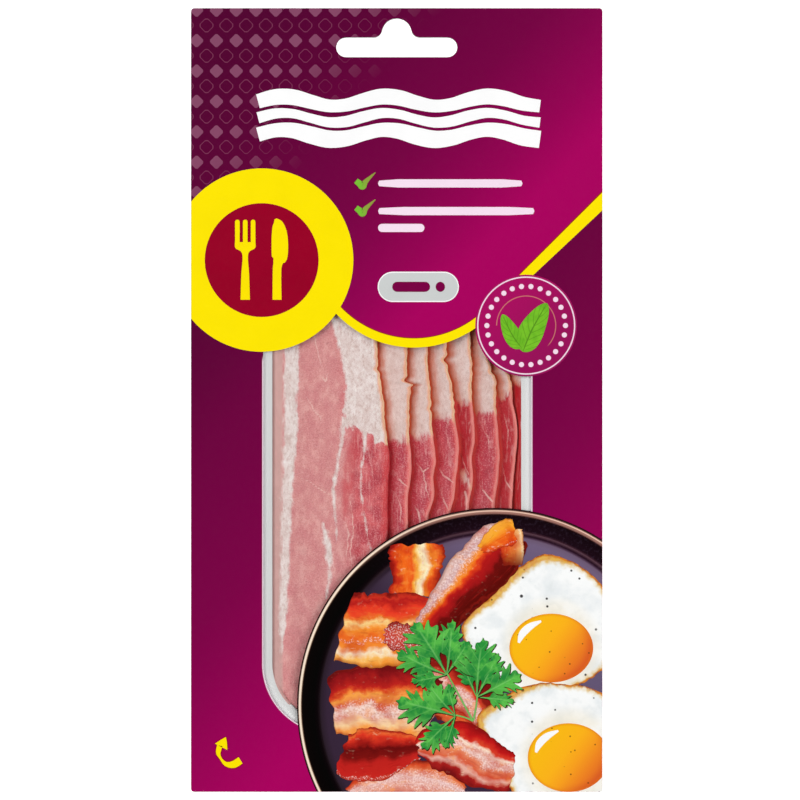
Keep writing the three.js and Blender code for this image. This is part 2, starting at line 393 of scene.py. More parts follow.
# Slices
pile = {
    "top": 14.4, "step": 1.75, "thickness": 1.5, "width": 29.0, "left": -33.3, "nose": 0.7, "wallLift": 0.62,
    "lowY": -85.4, "highY": 78.8,
    "shownLow": (-85.4, -37), "shownHigh": 28, "shownShare": 0.84,
    "rows": 260, "topRuns": (104, 56), "noseRuns": 6, "underRuns": 8,  # the first slice has more runs on top
    "edgeRows": (14, -31),
    "edges": (  # the right edge of each slice at even steps between those rows
        (-5.2, -5.0, -4.1, -3.5, -3.2, -2.5, -1.9, -2.2, -2.4, -2.4),
        (2.9, 2.6, 3.7, 3.4, 3.4, 3.4, 4.0, 3.8, 3.0, 3.0),
        (8.4, 8.3, 8.9, 9.2, 9.4, 9.9, 10.5, 9.9, 10.1, 8.5),
        (13.4, 13.6, 14.7, 15.3, 15.8, 16.6, 16.5, 15.9, 15.4, 14.2),
        (19.7, 20.2, 20.1, 20.2, 20.8, 21.0, 20.1, 20.5, 19.6, 19.3),
        (23.7, 25.4, 26.7, 26.6, 27.0, 27.4, 27.6, 27.2, 26.5, 26.3),
        (28.1, 29.3, 30.8, 31.2, 32.2, 32.3, 31.8, 31.3, 31.0, 30.8),
        (33.3, 33.3, 33.3, 33.3, 33.3, 33.3, 33.3, 33.3, 33.3, 33.3),
    ),
    # where the fat ends, how red the lean is, how strong the painted shade at its foot is, and notches as slice, y,
    # depth and reach
    "fatEnds": (-11, -11.2, -10, -5.5, -0.6, -3.6, 1.4, 4.3),
    "depths": (0, 1.0, 1.0, 1.15, 1.8, 1.2, 1.8, 2.0),
    "lowers": (0, 0, 0.35, 0.7, 1, 0.85, 1, 0.4),
    "notches": (
        (1, 5.3, 1.6, 0.9), (1, 4.1, -0.9, 0.4), (3, 10.8, 0.9, 0.8), (2, -2.4, 0.4, 0.7), (0, 8.2, 0.35, 0.6),
        (5, 7.6, 0.5, 0.8),
    ),
}


def edgeAt(index, y):  # the right edge of a slice, ragged along its fat and smooth along its lean
    high, low = pile["edgeRows"]
    line = alongPoints([(x,) for x in pile["edges"][index]], (high - y) / (high - low))[0]
    ragged = smoothStep(-2, 2, y - pile["fatEnds"][index])
    line += (0.06 + 0.2 * ragged) * wobble(index * 9, y, 1.3, 4) + 0.14 * wobble(index * 9, y, 3.1, 5)
    for owner, middle, depth, reach in pile["notches"]:
        if owner == index:
            line -= depth * math.exp(-((y - middle) / reach) ** 2)
    return line


def depthAt(edges, x):  # how many slices down the one is that shows at x
    if x <= edges[0]:
        return 0.0
    for i in range(1, len(edges)):
        if x < edges[i]:
            share = (x - edges[i - 1]) / (edges[i] - edges[i - 1])
            return i - 0.5 - 0.5 * math.cos(share * math.pi)
    return len(edges) - 1.0


def wallInset(z):  # how far the pocket's wall stands in at a height
    rim, top = pocket["rim"], pocket["wallTop"]
    if z > top:
        return math.sqrt(max(0.0, rim ** 2 - (z - top) ** 2)) + pocket["gap"]
    steep = rim + (top - max(z, pocket["arcTop"])) * pocket["slope"] + pocket["gap"]
    if z > pocket["arcTop"]:
        return steep
    radius = pocket["floorRadius"] - pocket["gap"]
    rise = min(pocket["floor"] + pocket["floorRadius"] - z, radius)
    return steep + radius - math.sqrt(radius ** 2 - rise ** 2)


def fitPocket(x, y, z):  # keeps a spot inside the pocket
    z = max(z, pocket["floor"] + pocket["gap"])
    inset = wallInset(z)
    radius = pocket["cornerRadius"] - inset
    reachX = pocket["halfWidth"] - inset - radius
    nearX = clamp(x, -reachX, reachX)
    nearY = clamp(y, pocket["lowY"] + inset + radius, pocket["highY"] - inset - radius)
    out = math.hypot(x - nearX, y - nearY)
    if out > radius:
        x, y = nearX + (x - nearX) * radius / out, nearY + (y - nearY) * radius / out
    return Vector((x * mm, y * mm, z * mm))


def rowAt(index, share):  # rows lie closer where the slice shows
    low = pile["shownLow"][min(index, 1)]
    high, part = pile["shownHigh"], pile["shownShare"]
    spare = (1 - part) if index == 0 else (1 - part) / 2
    if share < spare and index:
        return pile["lowY"] + (low - pile["lowY"]) * share / spare
    if share > 1 - spare:
        return high + (pile["highY"] - high) * (share - 1 + spare) / spare
    start = spare if index else 0.0
    return low + (high - low) * (share - start) / (1 - spare - start)


def lineField(points, x, y):  # how far a spot lies inside a streak given as places and half widths
    best = -9.0
    for (ax, ay, aw), (bx, by, bw) in zip(points, points[1:]):
        spanX, spanY = bx - ax, by - ay
        share = clamp(((x - ax) * spanX + (y - ay) * spanY) / (spanX ** 2 + spanY ** 2))
        gap = math.hypot(x - ax - share * spanX, y - ay - share * spanY)
        best = max(best, aw + (bw - aw) * share - gap)
    return best


topSlice = {
    "stripe": (
        (-28.2, 20, 1.9), (-28.2, 4, 2.1), (-28.6, 0, 1.6), (-28.3, -7, 2.0), (-28.8, -14, 1.8), (-29.0, -19, 1.5),
        (-29.4, -26, 1.4), (-29.7, -36, 1.3), (-30.0, -46, 1.25), (-30.6, -60, 0.9), (-30.8, -68, 0.1),
    ),
    "neck": ((-18.4, 26, 0.5), (-17, 22, 0.8), (-15.2, 17, 1.2), (-12.9, 12, 2.0), (-12, 7, 2.4)),
    "borderLine": (
        (-14.2, -5, 0.7), (-14.8, -11.5, 0.45), (-15.4, -15, 0.35), (-16.1, -19, 0.42), (-16.9, -24, 0.5),
        (-16.7, -29, 0.42), (-16.4, -32, 0.25), (-16.0, -38, 0.05),
    ),
    "streak": ((-19.6, -33, 0.2), (-18.8, -37.5, 0.9), (-18.1, -41, 1.0), (-17.9, -46, 0.45), (-18.8, -53, 0.1)),
    "innerLine": (
        (-8.4, -9, 0.8), (-8.7, -14, 0.3), (-9.5, -18, 0.12), (-9.7, -23, 0.1), (-9.2, -29, 0.08),
        (-8.2, -34, 0.1), (-7.0, -40, 0.14), (-6.4, -48, 0.1),
    ),
    "patchLeft": ((-16.3, 22), (-14.4, 16), (-13.3, 11), (-13.6, 5), (-14.3, -1), (-14.4, -7), (-14.4, -13)),
    "patchEnd": ((-14.4, -7.2), (-12, -8.2), (-10, -9), (-8, -10), (-6, -11.3), (-3.5, -12), (-1, -12)),
    "patchRows": (22, -13), "patchColumns": (-14.4, -1),  # where the two lines above start and end
    "redStreak": ((-10.5, -8, 0.6), (-11.6, -13, 1.6), (-12.8, -19, 1.7), (-13.6, -26, 1.0), (-14, -32, 0.2)),
    "threads": (
        ((-22.6, 19, 0.05), (-21.6, 15, 0.16), (-20.6, 11, 0.1), (-19.8, 8, 0.02)),
        ((-20.8, 7, 0.03), (-19.0, 5, 0.18), (-18.4, 7.2, 0.05)),
        ((-24.4, 1, 0.03), (-22.6, -2, 0.16), (-20.6, -4.6, 0.14), (-20.0, -6, 0.02)),
        ((-26.6, -20.4, 0.04), (-23, -22, 0.14), (-19.6, -24.6, 0.16), (-17.4, -25.6, 0.06)),
        ((-12.4, -27, 0.03), (-11.6, -34, 0.14), (-12.4, -40, 0.12), (-11.8, -47, 0.03)),
        ((-13.8, -31, 0.02), (-12.9, -36, 0.16), (-13.4, -43, 0.05)),
    ),
}
membranes = {  # thin pale skins that cross the lean of the lower slices
    1: (
        ((0.3, -20.6, 0.03), (1.6, -22.4, 0.16), (3.1, -23.4, 0.05)),
        ((0.2, -26, 0.03), (1.2, -29.6, 0.12), (0.8, -33, 0.03)),
    ),
    2: (
        ((5.1, -16.6, 0.04), (7.1, -19.3, 0.16), (8.6, -18.1, 0.06)),
        ((7.1, -19.3, 0.14), (7.9, -24, 0.1), (8.8, -27, 0.04)),
        ((4.6, -28.2, 0.05), (5.8, -30.4, 0.22), (6.2, -33, 0.12)),
    ),
    3: (
        ((10.8, -17.6, 0.05), (12.6, -20.4, 0.16), (14.3, -21.4, 0.16), (15.8, -23.4, 0.05)),
        ((11.5, -23.8, 0.05), (13.0, -27.6, 0.14), (14.2, -30.4, 0.05)),
    ),
    4: (
        ((18.4, -24.6, 0.25), (18.7, -28.8, 0.2), (18.5, -33, 0.15)),
        ((16.9, -13, 0.04), (18.2, -17.4, 0.1), (19.2, -20, 0.05)),
    ),
    5: (
        ((21.6, -21.8, 0.05), (23.9, -25.4, 0.18), (25.9, -27.2, 0.2)),
        ((22.4, -6.4, 0.03), (24.4, -9.8, 0.12), (24.8, -14, 0.03)),
    ),
    6: (
        ((27.8, -15.4, 0.05), (29.3, -21.6, 0.16), (31.3, -25, 0.22)),
        ((28.6, -3.4, 0.03), (29.8, -8.4, 0.12), (29.4, -14, 0.04)),
    ),
    7: (((32.2, -8, 0.05), (32.6, -16, 0.14), (32.3, -24, 0.05)),),
}
scraps = {  # bits of fat in the lean of the lower slices
    4: ((17.2, -19.4, 0.5), (18.8, -21.6, 0.9), (20.0, -24.0, 0.35)),
    5: ((21.3, 0.4, 0.1), (22.2, -1.4, 0.5), (22.9, -3.2, 0.2)),
}


def topSliceFat(x, y):
    (leftHigh, leftLow), (endLeft, endRight) = topSlice["patchRows"], topSlice["patchColumns"]
    left = alongPoints(topSlice["patchLeft"], (leftHigh - y) / (leftHigh - leftLow))[0]
    end = alongPoints(topSlice["patchEnd"], (x - endLeft) / (endRight - endLeft))[1]
    jag = 0.9 * wobble(x, y, 1.6, 2) + 0.4 * wobble(x, y, 0.7, 3)
    feather = 2.4 * wobble(x, y * 0.4, 1.7, 5) + 0.4 * wobble(x, y * 0.5, 0.6, 9)
    patch = min(x - left, y - end + feather, 12.0)
    lines = max(lineField(topSlice[name], x, y) for name in ("stripe", "neck", "borderLine", "streak", "innerLine"))
    return max(patch + jag, lines + 0.35 * jag)


def stripFat(index, x, y):  # the upper part of each lower slice is fat, and it ends in feathers
    jag = 1.8 * wobble(x, y * 0.5, 1.8, 6 + index) + 0.3 * wobble(x, y * 0.6, 0.6, 7)
    patch = y - pile["fatEnds"][index] + jag
    return max(patch, lineField(scraps[index], x, y) + 0.3 * jag) if index in scraps else patch


def sliceFacts(index, x, y, edges):  # what the meat's finish reads at a spot
    lines = topSlice["threads"] if index == 0 else membranes.get(index, ())
    bend = 0.35 * wobble(x, y, 1.4, 12)
    return {
        "fat": topSliceFat(x, y) if index == 0 else stripFat(index, x, y),
        "rim": edges[index] - x if index < len(edges) - 1 else 9.0,
        "foot": x - edges[index - 1] if index else 9.0,
        "tone": smoothStep(-19, -7, x + 2 * wobble(x, y, 6, 11)) if index == 0 else pile["depths"][index],
        "red": clamp(lineField(topSlice["redStreak"], x, y) / 1.6 + 0.5) if index == 0 else 0.0,
        "vein": max([lineField(line, x + bend, y) for line in lines] + [-9.0]),
        "skin": smoothStep(-30.2, -30.9, x) if index == 0 else 0.0,
        "lower": pile["lowers"][index],
    }


def makeSlice(index, material):
    topRuns, noseRuns, underRuns = pile["topRuns"][min(index, 1)], pile["noseRuns"], pile["underRuns"]
    runs = topRuns + noseRuns + underRuns
    half, nose = pile["thickness"] / 2, pile["nose"]
    facts = {}
    rowEdges = {}

    def spot(u, v):
        y = rowAt(index, v)
        if y not in rowEdges:
            rowEdges[y] = [edgeAt(i, y) for i in range(len(pile["edges"]))]
        edges = rowEdges[y]
        right = edges[index] + (nose if index == len(edges) - 1 else 0)
        left = pile["left"] if index == 0 else max(pile["left"], right - pile["width"])
        if index > 5:
            left = max(left, edges[index - 6] + 0.4)
        step = round(u * runs)
        if step <= topRuns:  # over the top, with closer rows where a lower slice shows
            share = step / topRuns
            share = share if index == 0 else 1 - (1 - share) ** 2.2
            x, lift = left + (right - nose - left) * share, 0.0
        elif step <= topRuns + noseRuns:  # round the right edge
            turn = (step - topRuns) / noseRuns * math.pi
            x, lift = right - nose + nose * math.sin(turn), half * math.cos(turn) - half
        else:  # back along the underside
            share = (step - topRuns - noseRuns) / underRuns
            x, lift = right - nose + (left - right + nose) * share, -pile["thickness"]
        level = pile["top"] - pile["step"] * (index - depthAt(edges, min(x, right - nose * 0.5)))
        level += pile["wallLift"] * smoothStep(30.5, 33.0, abs(x))
        calm = 1 - smoothStep(29.5, 32.4, abs(x))
        level += 0.22 * calm * wobble(index * 5 + x * 0.3, y, 9, 8)
        if lift > -half:
            lift += calm * (0.16 * wobble(x, y * 0.5, 2.6, index) + 0.1 * wobble(x, y, 1.1, index + 20))
        for name, value in sliceFacts(index, x, y, edges).items():
            facts.setdefault(name, []).append(value)
        return fitPocket(x, y, level + lift)

    piece = addPatch(spot, (runs, pile["rows"]))
    storeFacts(piece, facts)
    sealTube(piece, runs, pile["rows"])
    faceOutwards(piece)
    bpy.ops.object.shade_smooth()
    return dress(piece, "baconSlice%d" % (index + 1), material, "bacon", "slice_%d" % (index + 1))


def sealTube(piece, runs, rows):  # joins the underside's end to the top's start and closes both ends
    shell = bmesh.new()
    shell.from_mesh(piece.data)
    shell.verts.ensure_lookup_table()
    columns = runs + 1
    for row in range(rows):
        corners = [row * columns + runs, row * columns, (row + 1) * columns, (row + 1) * columns + runs]
        shell.faces.new([shell.verts[i] for i in corners])
    for row in (0, rows):
        shell.faces.new([shell.verts[row * columns + i] for i in range(columns)])
    shell.to_mesh(piece.data)
    shell.free()


def meatFinish():
    finish = Finish("rawBacon")
    fat, rim, foot, tone, red, vein, skin, lower = [
        finish.fact(name) for name in ("fat", "rim", "foot", "tone", "red", "vein", "skin", "lower")
    ]
    fine = finish.grain(0.34, 2)
    fibre = finish.grain(1.5, 4, (2.2, 0.5, 1))
    cloud = finish.grain(4.5, 3, shift=0.3)
    patch = finish.grain(2.6, 5, (1.2, 0.7, 1), shift=0.7, roughness=0.65)
    crease = abs(finish.grain(3.4, 3, (1.6, 0.8, 1), shift=1.1, roughness=0.6) - 0.5).fall(0.0, 0.022)
    feather = finish.grain(1.1, 4, (1.6, 0.36, 1), shift=1.9)
    strip = foot.fall(7.5, 8.8)
    isFat = ((fat + (fine - 0.5) * 0.8 + (feather - 0.5) * (1.6 + strip * 3)) / (1 + strip * 1.4)).rise(-0.4, 0.55)
    wrinkle = abs(finish.grain(2.4, 3, (0.6, 2.2, 1), shift=4.3) - 0.5).fall(0.0, 0.024)
    # where the painted shade at each slice's foot falls: the distance from the edge of the slice above, feathered
    depth = foot - (feather - 0.5) * 1.6
    streak = finish.grain(1.2, 4, (2.6, 0.3, 1), shift=3.1)
    crumb = finish.grain(0.9, 5, (1.3, 0.8, 1), shift=2.3, roughness=0.7)
    goldReach = rim - (fibre - 0.5) * 1.2

    pale = finish.mix(patch.rise(0.3, 0.7), ink(216, 136, 138), ink(228, 160, 156))
    pale = finish.over(
        pale,
        (fine.rise(0.5, 0.68) * 0.35, 236, 186, 180),
        (fine.fall(0.34, 0.46) * 0.3, 188, 106, 112),
        (wrinkle * cloud.rise(0.45, 0.6) * 0.4, 184, 102, 110),
    )
    pale = finish.mix(skin, pale, finish.mix(patch.rise(0.35, 0.65), ink(222, 176, 170), ink(212, 166, 160)))
    deep = finish.mix(cloud.rise(0.4, 0.62), ink(194, 72, 82), ink(218, 102, 106))
    deep = finish.over(
        deep,
        (strip * 0.5, 186, 54, 76),
        # painted highlight: brighter salmon towards each slice's right edge
        (rim.fall(0.4, 2.4) * 0.6, 232, 84, 78),
        (fine.rise(0.46, 0.7) * 0.44, 242, 170, 176),
        ((tone - 1).rise(0, 1) * 0.85, 178, 20, 32),
    )
    lean = finish.mix((tone + (cloud - 0.5) * 0.6).rise(0.1, 0.95), pale, deep)
    lean = finish.over(
        lean,
        (red.rise(0.1, 1) * 0.5, 208, 66, 74),
        (patch.rise(0.52, 0.7) * 0.4, 240, 184, 180),
        (patch.fall(0.3, 0.46) * tone.rise(0.3, 1) * 0.5, 166, 40, 58),
        ((vein + (fine - 0.5) * 0.14).rise(-0.16, 0.12) * 0.75, 244, 208, 198),
        (streak.rise(0.54, 0.7) * tone.rise(0.3, 1) * 0.35, 246, 190, 186),
        (streak.fall(0.32, 0.46) * tone.rise(0.3, 1) * 0.3, 178, 50, 66),
        # painted shade: deep red at the foot of each lower slice, under the edge of the slice above
        (depth.fall(-0.3, lower * 0.9 + 3.4) * 0.95, 178, 2, 22),
        # painted light: a salmon glow close to the foot, inside the shaded groove
        (foot.fall(0.4, 1.2) * lower * 0.75, 244, 92, 84),
        (rim.fall(0.2, 2.6) * (1 - strip) * 0.5, 206, 44, 56),
        # painted highlight: a pale line along the right edge of each lower slice's lean
        (rim.fall(0.1, 1.3) * strip * 0.85, 255, 160, 150),
    )

    white = finish.mix(patch.rise(0.25, 0.7), ink(226, 203, 197), ink(245, 231, 227))
    white = finish.over(
        white,
        (crumb.fall(0.36, 0.5) * 0.5, 198, 160, 150),
        (crumb.rise(0.54, 0.68) * 0.6, 254, 249, 244),
        (crease * 0.2, 196, 156, 140),
        (strip * 0.45, 222, 180, 170),
        # painted shade: brown-orange over the fat of the lower slices, strongest at each foot under the edge of the
        # slice above
        (foot.fall(0.6, 4.2) * lower * 0.6, 178, 108, 94),
        (depth.fall(0.4, 3.0) * 0.85, 206, 104, 72),
        (foot.fall(0.3, 0.9) * 0.8, 214, 78, 36),
        # gold-orange along the right edge of the fat is the smoked rind's colour; the pale line at the very edge is
        # a painted highlight
        (goldReach.fall(0.4, 1.2) * 0.7, 250, 170, 116),
        (goldReach.fall(0.12, 0.42) * 0.85, 255, 220, 176),
    )

    height = fine * 0.3 + fibre * 0.2 + patch * 0.5 - crease * 0.15
    # painted shade: the meat darkens where it meets the pocket's left wall
    wallShade = (0 - finish.axes()[0]).rise(32.3, 33.1)
    return finish.close({
        "Base Color": finish.mix(wallShade * 0.5, finish.mix(isFat, lean, white), ink(84, 30, 30)),
        "Roughness": 0.36 + fine * 0.2,
        "Specular IOR Level": 0.12,
        "Normal": finish.bump(height, 0.3, 0.8),
    })


# Printed sheet with the hanging slot and the window
field = {
    "dark": (83, 1, 49), "bright": (170, 0, 94),
    "headerStops": ((-137, 82), (-110, 91), (-87, 106), (-64, 117), (-50, 131), (-34, 148), (-17, 169)),
    "leftStops": ((-73, 88), (-56, 98), (-40, 108), (-19, 115), (8, 124), (21, 133), (48, 155), (70, 171)),
    "rightStops": ((0, 103), (44, 119), (60, 127), (77, 138), (110, 160)),
    "lineX": 0.15, "lineHalf": 35.85, "lineLow": -89, "lineRadius": 18.4,
}
lattice = {"columnPitch": 5.29, "rowPitch": 8.13, "startX": -48.2, "startY": 104.2, "half": 2.0, "round": 1.72}


def sheetFinish():
    finish = Finish("purplePrint")
    x, y = finish.axes()
    diagonal = x - y

    def tint(stops):  # purples along the falling diagonal, from stops of how red they are
        shades = []
        for place, red in stops:
            share = (red - field["dark"][0]) / (field["bright"][0] - field["dark"][0])
            shades.append((place, *(a + (b - a) * share for a, b in zip(field["dark"], field["bright"]))))
        return diagonal.ramp(shades, stops[0][0], stops[-1][0])

    header, left, right = [tint(field[name]) for name in ("headerStops", "leftStops", "rightStops")]
    belowBand = (diagonal - 0.4).rise(-0.2, 0.2)
    besideRoundel = x.fall(-20.2, -20) * y.fall(37, 37.4)
    lowLeft = x.fall(-10, -9.8) * y.fall(-20, -19)
    base = finish.mix(belowBand, header, right)
    base = finish.mix(lowLeft.most(besideRoundel), base, left)  # left of the window

    def diamond(shiftX, shiftY, half):  # how far outside the nearest rounded diamond
        dx = abs((x - (lattice["startX"] + shiftX)).cell(lattice["columnPitch"]))
        dy = abs((y - (lattice["startY"] + shiftY)).cell(lattice["rowPitch"]))
        return (dx + dy - half).most((dx * dx + dy * dy) ** 0.5 - lattice["round"])

    filled = diamond(0, 0, lattice["half"]).fall(-0.08, 0.08)
    outline = diamond(lattice["columnPitch"] / 2, lattice["rowPitch"] / 2, lattice["half"] + 0.1)
    fade = (diagonal + (x + sheet["halfWidth"]) * 0.12).fall(-120, -82)
    windowGap = finish.outside(x - field["lineX"], y, field["lineHalf"], field["lineLow"], field["lineRadius"])
    return finish.inked(finish.over(
        base,
        (filled * fade * 0.3, 200, 128, 164),
        (abs(outline).fall(0.06, 0.2) * fade * 0.22, 196, 110, 146),
        (abs(windowGap).fall(0.16, 0.36) * y.fall(10, 12), 240, 214, 228),
    ))


def makeSheet():
    piece = copyNode("printed_sheet")
    topLevel = max(vertex.co.z for vertex in piece.data.vertices)
    for vertex in piece.data.vertices:
        if vertex.co.z > topLevel - 0.05 * mm:
            vertex.co.z = sheet["base"] * mm
    return dress(piece, "printedFront", sheetFinish(), "printed_sheet", "printed_sheet")


# Shapes of the printed fields
def stadium(lowX, highX, lowY, highY, radius=None):  # a bar with round ends, or round corners of a radius
    radius = radius or (highY - lowY) / 2
    centre = ((lowX + highX) / 2, (lowY + highY) / 2)
    halfX, halfY = (highX - lowX) / 2 - radius, (highY - lowY) / 2 - radius

    def reach(turn):
        c, s = abs(math.cos(turn)), abs(math.sin(turn))
        low, high = 0.0, math.hypot(halfX + radius, halfY + radius)
        for halving in range(30):
            best = (low + high) / 2
            if math.hypot(max(0.0, best * c - halfX), max(0.0, best * s - halfY)) < radius:
                low = best
            else:
                high = best
        return best

    return addDisc(centre, reach, 160)


def ribbon(points, cells=(48, 6), edge=None, end=None, look=0.01):  # a strip along places with half widths
    def spot(u, v):
        x, y, half = alongPoints(points, u)
        aheadX, aheadY = alongPoints(points, min(1, u + look))[:2]
        backX, backY = alongPoints(points, max(0, u - look))[:2]
        length = math.hypot(aheadX - backX, aheadY - backY)
        runX, runY = (aheadX - backX) / length, (aheadY - backY) / length
        side = (v * 2 - 1) * half + (edge(u, v) if edge else 0)
        along = end(u, v) if end else 0
        return flat(x - runY * side + runX * along, y + runX * side + runY * along)
    return addPatch(spot, cells)


# Yellow roundel with a fork and a knife
roundel = {
    "x": -36.1, "y": 37.4, "radius": 24.5, "inner": 15.2, "apart": 4.4,
    "handle": ((0, -10.6, 1.25), (0, -4, 1.05), (0, 1.6, 0.8), (0, 3.2, 2.6), (0, 4.8, 2.75)),
    "tineSpacing": 2.1, "tineHalf": 0.62, "tineLow": 3.6, "tineHigh": 10.8, "tineRound": 0.6,
    "blade": (
        (-0.3, -10.6, 1.2), (-0.3, -3, 1.15), (0, -0.6, 1.3), (0.4, 1, 2.1), (0.4, 6, 2.15), (0, 9.4, 1.5),
        (-0.7, 11, 0.3),
    ),
}


def makeRoundel(yellow, darkRed):
    x, y = roundel["x"], roundel["y"]
    layField(addDisc((x, y), lambda turn: roundel["radius"], 160), "roundelField", 2, yellow)
    layField(addDisc((x, y), lambda turn: roundel["inner"], 128), "roundelCentre", 3, darkRed)
    forkX, knifeX = x - roundel["apart"], x + roundel["apart"]
    layField(ribbon(moved(roundel["handle"], forkX, y)), "forkHandle", 4, yellow)
    for side in (-1, 0, 1):
        middle, half = forkX + side * roundel["tineSpacing"], roundel["tineHalf"]
        low, high = y + roundel["tineLow"], y + roundel["tineHigh"]
        tine = stadium(middle - half, middle + half, low, high, roundel["tineRound"])
        layField(tine, "forkTine%d" % (side + 2), 5, yellow)
    layField(ribbon(moved(roundel["blade"], knifeX, y)), "knife", 4, yellow)


# Yellow band over the window
band = {  # each side has the centre and radius of its arc and the level of its end
    "outer": (4.6, 42.4, 28.4, 51.7), "inner": (4.61, 43.68, 27.0, 57.0),
    "startTurn": 217, "endTurn": 315, "arcShare": 0.72, "endX": 56,
}


def bandFinish():
    finish = Finish("yellowBand")
    across = finish.run()[1]
    return finish.inked(finish.mix(across.fall(0.9, 0.93), ink(150, 40, 20), ink(254, 230, 0)))


def makeBand():
    start, end = math.radians(band["startTurn"]), math.radians(band["endTurn"])
    arcShare = band["arcShare"]

    def sideAt(centreX, centreY, radius, endY, u):  # an arc and then a straight run
        turn = start + (end - start) * min(1, u / arcShare)
        run = max(0, (u - arcShare) / (1 - arcShare))
        x, y = centreX + radius * math.cos(turn), centreY + radius * math.sin(turn)
        return x + (band["endX"] - x) * run, y + (endY - y) * run

    def spot(u, v):
        outerX, outerY = sideAt(*band["outer"], u)
        innerX, innerY = sideAt(*band["inner"], u)
        return flat(outerX + (innerX - outerX) * v, outerY + (innerY - outerY) * v)

    layField(addPatch(spot, (150, 3)), "headerBand", 1, bandFinish())


# Round badge with two leaves
badge = {
    "x": 34.6, "y": 19.9, "radius": 13.6, "ring": 12.95, "dots": 10.5, "dotCount": 26, "innerRing": 7.9,
    "leaves": (  # name, half width and places
        ("badgeLeafRight", 3.3, ((-0.9, -7.0, 0), (1.6, -1.0, 0), (5.6, 6.0, 0))),
        ("badgeLeafLeft", 2.3, ((-1.2, -6.0, 0), (-3.8, -2.4, 0), (-6.4, 3.0, 0))),
    ),
}


def badgeFinish():
    finish = Finish("badgeField")
    x, y = finish.axes(badge["x"], badge["y"])
    reach = (x * x + y * y) ** 0.5
    turn = x.maths("ARCTAN2", y, x)
    dotX = turn.cell(2 * math.pi / badge["dotCount"]) * badge["dots"]
    dotY = reach - badge["dots"]
    dot = ((dotX * dotX + dotY * dotY) ** 0.5).fall(0.6, 0.76)
    ring = abs(reach - badge["ring"]).fall(0.1, 0.24)
    innerRing = abs(reach - badge["innerRing"]).fall(0.05, 0.18)
    base = finish.mix((x - y).rise(-14, 14), ink(168, 0, 93), ink(150, 4, 86))
    base = finish.over(
        base,
        (ring.most(dot), 246, 220, 236),
        (innerRing * (turn + 0.6).rise(-0.2, 0) * 0.6, 225, 150, 120),
    )
    return finish.inked(base, 0.33)


def leafFinish(name, light, dark):
    finish = Finish(name)
    along, across = finish.run()
    middle = abs(across - 0.5).fall(0.0, 0.05)
    ribs = abs((along - abs(across - 0.5) * 0.5).cell(0.14)).fall(0.004, 0.016) * 0.5
    base = finish.mix(finish.grain(2.4, 3).rise(0.3, 0.7), light, dark)
    base = finish.mix((middle * 0.9).most(ribs), base, tuple(level * 0.45 for level in dark[:3]) + (1.0,))
    return finish.inked(base, 0.35)


def makeBadge():
    x, y = badge["x"], badge["y"]
    layField(addDisc((x, y), lambda turn: badge["radius"], 128), "badgeField", 2, badgeFinish())
    green = leafFinish("badgeLeaf", ink(122, 196, 38), ink(104, 180, 30))
    for i, (name, width, points) in enumerate(badge["leaves"]):
        def edge(u, v):
            return (v * 2 - 1) * width * (4 * u * (1 - u)) ** 0.75 * (1.25 - 0.5 * u)

        layField(ribbon(moved(points, x, y), (28, 8), edge, look=0.02), name, 3 + i, green)


# Wavy stripes, bars, a pill, ticks and an arrow
title = {
    "left": -37.1, "width": 75.4, "level": 75.35, "swing": 1.3, "waves": 5.5, "steps": 16,
    "stripes": (("Top", 4.5, 1.9, 0), ("Middle", 0.1, 1.35, 2), ("Low", -4.4, 2.1, 4)),  # shift, half width and seed
}
labels = {  # lowest and highest x, lowest and highest y
    "labelBar1": (-5.0, 33.6, 56.8, 59.0), "labelBar2": (-5.0, 36.8, 49.4, 51.6),
    "labelBar3": (-5.0, 7.4, 44.9, 47.1),
    "pillRim": (-5.1, 16.6, 26.2, 34.3), "pillField": (-4.8, 16.3, 26.5, 34.0),
    "pillBarLong": (-1.2, 8.9, 28.9, 31.6), "pillBarShort": (10.4, 12.9, 28.9, 31.6),
}
ticks = {
    "lows": (56.3, 49.1),
    "points": ((-10.9, 2.3, 0.75), (-9.9, 1.5, 0.85), (-9.1, 0.9, 0.95), (-8.2, 2.2, 0.62), (-5.7, 4.5, 0.12)),
}
arrow = {
    "tail": (
        (-41.75, -96.3, 1.0), (-43.6, -97.4, 0.95), (-45.6, -97.3, 0.6), (-47.0, -95.9, 0.3), (-47.7, -94.3, 0.6),
        (-47.3, -92.4, 0.75),
    ),
    "head": ((-46.95, -92.7, 1.85), (-46.2, -91.2, 0.9), (-45.7, -90.1, 0.02)),
    "rim": 0.22,
}


def makeTitle(white):
    for name, shift, half, seed in title["stripes"]:
        points = []
        for i in range(title["steps"] + 1):
            share = i / title["steps"]
            lift = title["swing"] * math.sin(share * title["waves"] * math.pi)
            width = half * (1 + 0.12 * math.sin(seed + share * 17))
            points.append((title["left"] + title["width"] * share, title["level"] + shift + lift, width))
        layField(ribbon(points, (120, 4)), "titleStripe" + name, 1, white)


def makeLabels(white, pink, grey, purple):
    layers = (
        ("labelBar1", 1, pink), ("labelBar2", 1, pink), ("labelBar3", 1, pink), ("pillRim", 1, white),
        ("pillField", 2, grey), ("pillBarLong", 3, purple), ("pillBarShort", 3, purple),
    )
    for name, layer, material in layers:
        layField(stadium(*labels[name]), name, layer, material)


def makeTicks():
    finish = Finish("tickGreen")
    base = finish.mix(finish.run()[0].rise(0.3, 1), ink(120, 190, 50), ink(146, 150, 60))
    green = finish.inked(base, 0.35)
    for i, low in enumerate(ticks["lows"]):
        layField(ribbon(moved(ticks["points"], 0, low), (36, 4)), "tick%d" % (i + 1), 1, green)


